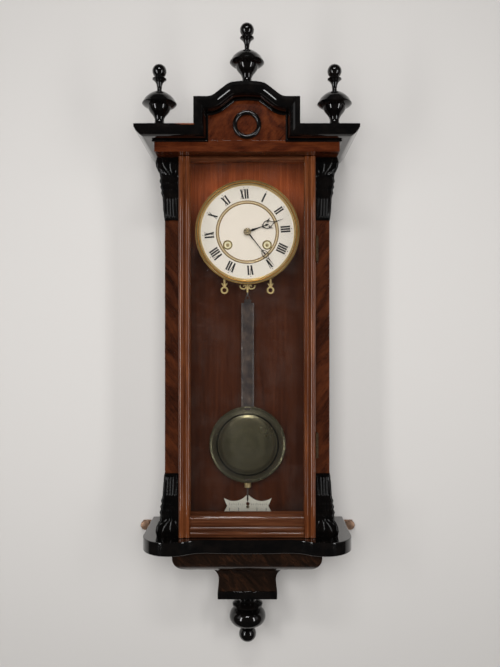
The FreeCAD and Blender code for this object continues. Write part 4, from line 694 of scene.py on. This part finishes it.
def corbelLoop(t):
    # one level of the corbel: across the front, round the corner and back along the side
    side = between(corbel["side"], t)
    ripple = (t - corbel["rippleStart"]) / corbel["ripplePitch"]
    if 0 < ripple < corbel["ripples"]:
        side += corbel["rippleRise"] * math.sin(math.pi * (ripple % 1)) ** 2
    front, back = between(corbel["front"], t), between(corbel["back"], t)
    corner, inner = min(corbel["corner"], (side - corbel["case"]) + 1.5), corbel["inner"]
    wide = side - inner
    points = [(inner, corbel["caseFront"])]
    for k in range(corbel["frontSteps"] + 1):
        x = inner + (wide - corner) * k / corbel["frontSteps"]
        points.append((x, front + carving(wide - (x - inner), t, wide)))
    for k in range(1, corbel["cornerSteps"] + 1):
        lean = math.radians(90 - 90 / corbel["cornerSteps"] * k)
        points.append((side - corner + corner * math.cos(lean), front - corner + corner * math.sin(lean)))
    for k in range(1, corbel["sideSteps"] + 1):
        points.append((side, front - corner - (front - corner - back) * k / corbel["sideSteps"]))
    return points + [(corbel["case"], back), (corbel["case"], corbel["caseFront"])]


for across, name in ((-1, "left"), (1, "right")):
    for upper in (True, False):
        rows = []
        for level in range(corbel["levels"] + 1):
            t = corbel["height"] * level / corbel["levels"]
            height = clock["caseHeight"] - t if upper else t
            rows.append([at(x * across, depth, height) for x, depth in corbelLoop(t)])
        bm = bmesh.new()
        loft(bm, rows)
        node = ("corbel_upper_" if upper else "corbel_lower_") + name
        finished(bm, node + "_carved", "case", "ebonyCarved", (node,), 38.0)
print("corbels made")

# the dial sits turned a little anticlockwise, and its sizes are radii and depths
dial = {
    "turn": -4.5, "face": 89.5, "ink": 0.05, "foot": 56.4, "top": 72.6, "thick": 2.9, "thin": 1.0, "gap": 1.05,
    "serif": 0.6, "serifHeight": 0.35, "serifInk": 0.055, "wideV": 5.9, "leanV": 0.3, "wideX": 6.0,
    "dotRing": 75.1, "dot": 0.42, "bigDot": 0.95,
    "bezel": [(80.0, 86.6), (86.2, 86.6), (86.2, 83.6), (88.0, 83.6), (88.0, 90.6),
              ("arc", (87.5, 92.1), (86.3, 92.4)), (85.7, 91.6), (85.5, 90.4), (85.1, 90.4), (84.9, 92.2),
              ("arc", (83.6, 94.4), (81.8, 93.6)), (81.5, 92.6), (81.2, 92.6), ("arc", (80.3, 92.8), (79.5, 91.2)),
              (79.05, 87.6), (80.0, 86.6)],
    "trim": [(47.8, 87.6), (47.8, 89.9), ("arc", (49.0, 90.9), (50.4, 90.3)), (50.9, 90.3),
             ("arc", (52.3, 90.9), (53.4, 89.9)), (53.4, 87.6), (47.8, 87.6)],
    "grommet": [(5.9, 86.6), (5.9, 89.2), ("arc", (6.9, 90.4), (8.15, 89.4)), (8.15, 86.6), (5.9, 86.6)],
    "cup": [(5.2, 86.6), (2.9, 86.6), (3.0, 87.5), ("arc", (4.8, 87.9), (6.0, 89.2)), (5.2, 86.6)],
    "rimReach": 78.6, "rimDrop": 1.3, "rimShrink": 0.993, "windingX": 33.2, "windingDrop": 21.6}
hub = at(0, 0, clock["dialHeight"])


def onDial(across, out, degrees, depth):
    # a point beside and along a radius that leans clockwise from twelve
    lean = math.radians(degrees)
    return hub + Vector((across * math.cos(lean) + out * math.sin(lean), -depth,
                         out * math.cos(lean) - across * math.sin(lean))) / 1000


def strokes(numeral):
    # (low x, high x, width) of each stroke of a numeral and its whole width
    thick, thin, wideV, wideX = dial["thick"], dial["thin"], dial["wideV"], dial["wideX"]
    lines, x = [], 0.0
    for letter in numeral:
        if letter == "I":
            lines.append((x + thick / 2, x + thick / 2, thick))
            x += thick
        elif letter == "V":
            lines.append((x + wideV / 2, x + thick / 2, thick))
            lines.append((x + wideV / 2 + dial["leanV"], x + wideV - thin / 2, thin))
            x += wideV
        else:
            lines.append((x + wideX - thick / 2, x + thick / 2, thick))
            lines.append((x + thin / 2, x + wideX - thin / 2, thin))
            x += wideX
        x += dial["gap"]
    return lines, x - dial["gap"]


bm = bmesh.new()
numerals = ("XII", "I", "II", "III", "IIII", "V", "VI", "VII", "VIII", "IX", "X", "XI")
for hour, numeral in enumerate(numerals):
    lines, wide = strokes(numeral)
    lean = hour * 30 + dial["turn"]
    for foot, head, width in lines:
        slab(bm, [onDial(x - wide / 2, out, lean, dial["face"]) for x, out in (
            (foot - width / 2, dial["foot"]), (foot + width / 2, dial["foot"]),
            (head + width / 2, dial["top"]), (head - width / 2, dial["top"]))], dial["ink"])
        for x, out in ((foot, dial["foot"]), (head, dial["top"] - dial["serifHeight"])):
            reach = width / 2 + dial["serif"]
            slab(bm, [onDial(x - wide / 2 + a, out + b, lean, dial["face"]) for a, b in (
                (-reach, 0), (reach, 0), (reach, dial["serifHeight"]), (-reach, dial["serifHeight"]))],
                dial["serifInk"])
for minute in range(60):
    size = dial["bigDot"] if minute % 5 == 0 else dial["dot"]
    lean = minute * 6 + dial["turn"]
    slab(bm, [onDial(a, dial["dotRing"] + b, lean, dial["face"]) for a, b in (
        (-size, 0), (0, -size), (size, 0), (0, size))], dial["ink"])
finished(bm, "dialNumerals", "case", "ink")
turned("bezelTurned", dial["bezel"], hub, True, "case", "brass", "brassBezel", (), 160, 40.0, 15.0)
turned("dialTrimTurned", dial["trim"], hub, True, "case", "brass", "brassTrim", ("dial_trims",), 128, 40.0, 15.0)
for side, name in ((-1, "Left"), (1, "Right")):
    place = hub + Vector((side * dial["windingX"], 0, -dial["windingDrop"])) / 1000
    turned("grommet" + name, dial["grommet"], place, True, "case", "brass", "brassGrommet", (), 48)
    turned("cup" + name, dial["cup"], place, True, "case", "brass", "brassCupPaintedHighlight", (), 48)

# the plain bezel stays as the pan, with its rim sunk under the turned one
bm = bmesh.new()
bm.from_mesh(nodes["bezel"].data)
bmesh.ops.remove_doubles(bm, verts=bm.verts, dist=5e-6)
rim = [vert for vert in bm.verts if math.hypot(vert.co.x - hub.x, vert.co.z - hub.z) > dial["rimReach"] / 1000]
bmesh.ops.translate(bm, verts=rim, vec=(0, dial["rimDrop"] / 1000, 0))
bmesh.ops.scale(bm, verts=rim, vec=(dial["rimShrink"], 1, dial["rimShrink"]), space=Matrix.Translation(-hub))
finished(bm, "dialPan", "case", "brassPlate", ("bezel",), recalc=False)
carried("dial_ring", "enamelWhite")
carried("dial_centre", "enamelCentre")
print("dial made")

# each hand is a set of bars, given as stations of ((across, along), width)
hand = {
    "thickness": 0.7, "bore": 3.05, "eyeEdge": 0.6, "layer": 0.004, "pairLift": 0.02,
    "hour": {"lean": 70.0, "depth": 92.1, "eye": 5.6, "bars": [
        [((0, 5), 1.2), ((0, 7), 2.6), ((0, 9.5), 4.0), ((0, 13), 3.0), ((0, 20), 1.9), ((0, 27), 1.3)],
        [((-3.4, 28.6), 0.5), ((-1.6, 27.4), 1.3), ((0, 27.2), 1.8), ((1.6, 27.4), 1.3), ((3.4, 28.6), 0.5)],
        [((0, 27), 1.6), ((0, 31), 1.2), ((0, 33), 3.0), ((0, 35), 3.4), ((0, 37), 1.8), ((0, 38.5), 0.3)],
        [((0, 48), 1.6), ((0, 50), 2.4), ((0, 53), 1.3), ((0, 63.6), 0.35)]],
        "pairs": [
        [((0, 28.6), 1.2), ((3.2, 29.8), 1.2), ((5.6, 32.4), 1.3), ((6.3, 35.8), 1.3), ((5.7, 39.4), 1.2),
         ((3.6, 42.8), 1.1), ((1.6, 45.6), 1.1), ((0.4, 49.0), 1.3)],
        [((6.2, 35.4), 0.9), ((6.8, 38.6), 1.1), ((7.9, 41.6), 1.0), ((9.6, 43.2), 0.4)],
        [((5.8, 38.8), 0.8), ((4.2, 37.0), 1.0), ((3.3, 38.6), 1.0), ((4.2, 39.9), 0.6)]]},
    "minute": {"lean": 141.6, "depth": 94.1, "eye": 5.2, "bars": [
        [((0, 4.6), 1.2), ((0, 7), 2.2), ((0, 9), 2.6), ((0, 12), 1.7), ((0, 39), 1.1)],
        [((-2.6, 41.2), 0.4), ((-1.2, 40.2), 1.0), ((0, 40.0), 1.6), ((1.2, 40.2), 1.0), ((2.6, 41.2), 0.4)],
        [((0, 40), 1.2), ((0, 43.4), 0.9), ((0, 45.4), 2.4), ((0, 47.2), 2.4), ((0, 49.4), 0.6)],
        [((0, 57.2), 1.2), ((0, 59), 2.0), ((0, 61.6), 1.1), ((0, 73.3), 0.3)]],
        "pairs": [
        [((0, 41.2), 0.9), ((2.4, 42.4), 0.9), ((4.2, 45.0), 1.0), ((4.5, 48.2), 1.0), ((3.6, 51.4), 0.9),
         ((2.0, 54.0), 0.9), ((0.6, 58.0), 1.0)],
        [((4.4, 47.4), 0.7), ((4.9, 50.2), 0.9), ((5.8, 52.6), 0.8), ((7.0, 53.6), 0.3)]]}}


def ribbon(bm, stations, lean, depth, thickness, side=1):
    # a flat bar of changing width along a line of stations
    points = [Vector((p[0] * side, p[1])) for p, width in stations]
    left, right = [], []
    for k, (p, width) in enumerate(stations):
        run = points[min(k + 1, len(points) - 1)] - points[max(k - 1, 0)]
        over = Vector((-run.y, run.x)).normalized() * width / 2
        left.append(points[k] + over)
        right.append(points[k] - over)
    outline = left + right[::-1]
    slab(bm, [onDial(p.x, p.y, lean, depth) for p in outline], thickness)


def fineLine(stations, parts=5):
    # more stations on a smooth line through the given ones
    made = []
    for k in range(len(stations) - 1):
        four = [stations[min(max(k + i, 0), len(stations) - 1)] for i in (-1, 0, 1, 2)]
        for step in range(parts):
            t = step / parts
            weights = ((-t + 2 * t * t - t ** 3) / 2, (2 - 5 * t * t + 3 * t ** 3) / 2,
                       (t + 4 * t * t - 3 * t ** 3) / 2, (t ** 3 - t * t) / 2)
            p = sum((Vector(q[0]) * w for q, w in zip(four, weights)), Vector((0, 0)))
            width = sum(q[1] * w for q, w in zip(four, weights))
            made.append((tuple(p), max(width, 0.2)))
    made.append(stations[-1])
    return made


for name in ("hour", "minute"):
    spec = hand[name]
    bm = bmesh.new()
    for k, stations in enumerate(spec["bars"]):
        ribbon(bm, fineLine(stations), spec["lean"], spec["depth"] + hand["layer"] * k, hand["thickness"])
    for k, stations in enumerate(spec["pairs"]):
        for side in (-1, 1):
            depth = spec["depth"] + hand["pairLift"] + hand["layer"] * k
            ribbon(bm, fineLine(stations), spec["lean"], depth, hand["thickness"], side)
    turn(bm, [(radius, spec["depth"] + rise) for radius, rise in (
        (hand["bore"], 0), (spec["eye"], 0), (spec["eye"], hand["eyeEdge"]), (hand["bore"], hand["thickness"]),
        (hand["bore"], 0))], hub, True, 40)
    finished(bm, name + "HandPierced", name, "blueSteel", (name + "_hand",))
boss = [(1.2, 94.9), (6.2, 94.9), (6.4, 95.5), ("arc", (5.4, 96.6), (3.0, 96.9)), (2.6, 96.6), (1.25, 96.6),
        (1.2, 94.9)]
turned("handBoss", boss, hub, True, "minute", "brass", "brassBoss", (), 48)
print("hands made")

pendulum = {
    "depth": 43.0, "groove": 0.9, "grooveDepth": 0.014, "grooveEnd": 52.0,
    "bob": [(0, 32.9), (60.9, 38.4), (66.0, 40.6), (66.9, 42.0), (66.9, 45.6), ("arc", (65.9, 47.3), (64.4, 46.9)),
            (63.4, 46.0), ("arc", (59.0, 46.7), (54.9, 47.9)), (54.2, 47.0), (53.2, 47.0), (52.6, 47.7),
            ("arc", (28.0, 52.0), (0, 53.4))],
    "nut": [(1.6, 62.7), (5.6, 62.7), (6.0, 63.3), (6.0, 70.1), (5.6, 70.7), (1.6, 70.7), (1.6, 62.7)]}


def grooved(points, spacing, depth, last):
    # fine turning grooves laid along a profile out to a radius
    line, run = [], 0.0
    for one, two in zip(points, points[1:]):
        span = (two - one).length
        inside = max(one.x, two.x) <= last
        count = max(1, round(span / (spacing / 4))) if inside else 1
        for k in range(count):
            wave = depth * math.sin((run + span * k / count) * 2 * math.pi / spacing) if inside else 0.0
            line.append(one + (two - one) * k / count + Vector((0, wave)))
        run += span
    return line + [points[-1]]


profile = grooved(bent(pendulum["bob"], 3.0), pendulum["groove"], pendulum["grooveDepth"], pendulum["grooveEnd"])
turned("bobTurned", profile, at(0, 0, clock["bobHeight"]), True, "pendulum", "brass", "brassBob", ("bob",), 160, 50.0)
turned("nutTurned", pendulum["nut"], at(0, pendulum["depth"], 0), False, "nut", "brass", "brassPlate",
       ("rating_nut",), 40, 32.0)
carried("pendulum_rod", "ebonyRodPaintedGlare")
carried("beat_scale", "scaleWhite")
scale = {"face": 15.4, "row": 24.2, "tick": 2.6, "fiveTick": 4.6, "pitch": 3.3, "lines": 10, "half": 0.225,
         "lowRow": 13.5, "lowTick": 6.0, "lowHalf": 0.405, "ink": 0.06, "screwHeight": 21.4,
         "screw": [(0, 15.4), (2.9, 15.4), (2.9, 15.9), ("arc", (2.03, 16.6), (0, 16.9))]}


def tick(bm, x, half, low, long):
    slab(bm, [at(x + across, scale["face"], low + up) for across, up in (
        (-half, 0), (half, 0), (half, long), (-half, long))], scale["ink"])


bm = bmesh.new()
for k in range(-scale["lines"], scale["lines"] + 1):
    if abs(k) < 2:  # the screw's own place
        continue
    fifth = k % 5 == 0
    tick(bm, k * scale["pitch"], scale["half"], scale["row"], scale["fiveTick"] if fifth else scale["tick"])
    if fifth:
        tick(bm, k * scale["pitch"], scale["lowHalf"], scale["lowRow"], scale["lowTick"])
finished(bm, "scaleTicks", "case", "ink")
turned("scaleScrew", scale["screw"], at(0, 0, scale["screwHeight"]), True, "case", "brass", "brassBoss", (), 32)
print("pendulum made")

room = {"wall": (0.56, 0.54, 0.52), "floor": (0.60, 0.59, 0.57), "floorHeight": -1400.0, "half": 3000.0,
        "wallDepth": -0.6, "air": (0.5, 0.5, 0.5), "airLight": 0.07, "aim": (0, 60, 330)}


def stagePlane(name, corners, colour):
    bm = bmesh.new()
    bm.faces.new([bm.verts.new(corner) for corner in corners])
    mesh = bpy.data.meshes.new(name)
    bm.to_mesh(mesh)
    bm.free()
    # clear from behind, and to the lamp that lights the clock's back
    paint = Paint(name)
    plain = paint.node("ShaderNodeBsdfDiffuse", {}, {"Color": colour})
    clear = paint.node("ShaderNodeBsdfTransparent")
    behind = paint.node("ShaderNodeNewGeometry", output="Backfacing")
    through = behind + paint.node("ShaderNodeLightPath", output="Is Shadow Ray")
    paint.node("ShaderNodeOutputMaterial", {}, {"Surface": paint.node("ShaderNodeMixShader", {},
                                                {"Fac": through, 1: plain, 2: clear})})
    mesh.materials.append(paint.material)
    plane = bpy.data.objects.new(name, mesh)
    bpy.context.scene.collection.objects.link(plane)
    return plane


half, low, wall = room["half"], room["floorHeight"], room["wallDepth"]
stagePlane("wall", [at(-half, wall, low), at(half, wall, low), at(half, wall, half), at(-half, wall, half)],
           room["wall"])
ground = stagePlane("floor", [at(-half, -half, low), at(-half, half, low), at(half, half, low), at(half, -half, low)],
                    room["floor"])
ground.visible_glossy = False  # or it greys the polished black

# sizes in metres; a lamp that isn't reflected leaves no patch on glass and polish
lamps = {
    "key": {"place": (-40, 1450, 1490), "size": (0.6, 0.12), "watts": 7.5},
    "fill": {"place": (-20, 1500, 480), "size": (0.8, 0.7), "watts": 15.5, "reflected": False},
    "stripLeft": {"place": (-1050, 1250, 250), "size": (0.2, 1.2), "watts": 8.5},
    "stripRight": {"place": (1050, 1250, 250), "size": (0.2, 1.2), "watts": 7.2},
    "left": {"place": (-1650, 1050, 800), "size": (0.6, 1.1), "watts": 1.2},
    "right": {"place": (1650, 1000, 450), "size": (0.6, 1.1), "watts": 0.9},
    "behind": {"place": (350, -1500, 800), "size": (1.2, 1.2), "watts": 12.0, "reflected": False}}
for name, lamp in lamps.items():
    light = bpy.data.lights.new(name, "AREA")
    light.shape = "RECTANGLE"
    light.size, light.size_y = lamp["size"]
    light.energy = lamp["watts"]
    holder = bpy.data.objects.new(name, light)
    holder.location = at(*lamp["place"])
    holder.visible_glossy = lamp.get("reflected", True)
    holder.rotation_euler = (at(*room["aim"]) - at(*lamp["place"])).to_track_quat("-Z", "Y").to_euler()
    bpy.context.scene.collection.objects.link(holder)
world = bpy.data.worlds.new("room")
world.use_nodes = True
world.node_tree.nodes["Background"].inputs["Color"].default_value = (*room["air"], 1)
world.node_tree.nodes["Background"].inputs["Strength"].default_value = room["airLight"]
bpy.context.scene.world = world
bpy.context.scene.view_settings.view_transform = "Standard"

print("scene ready")
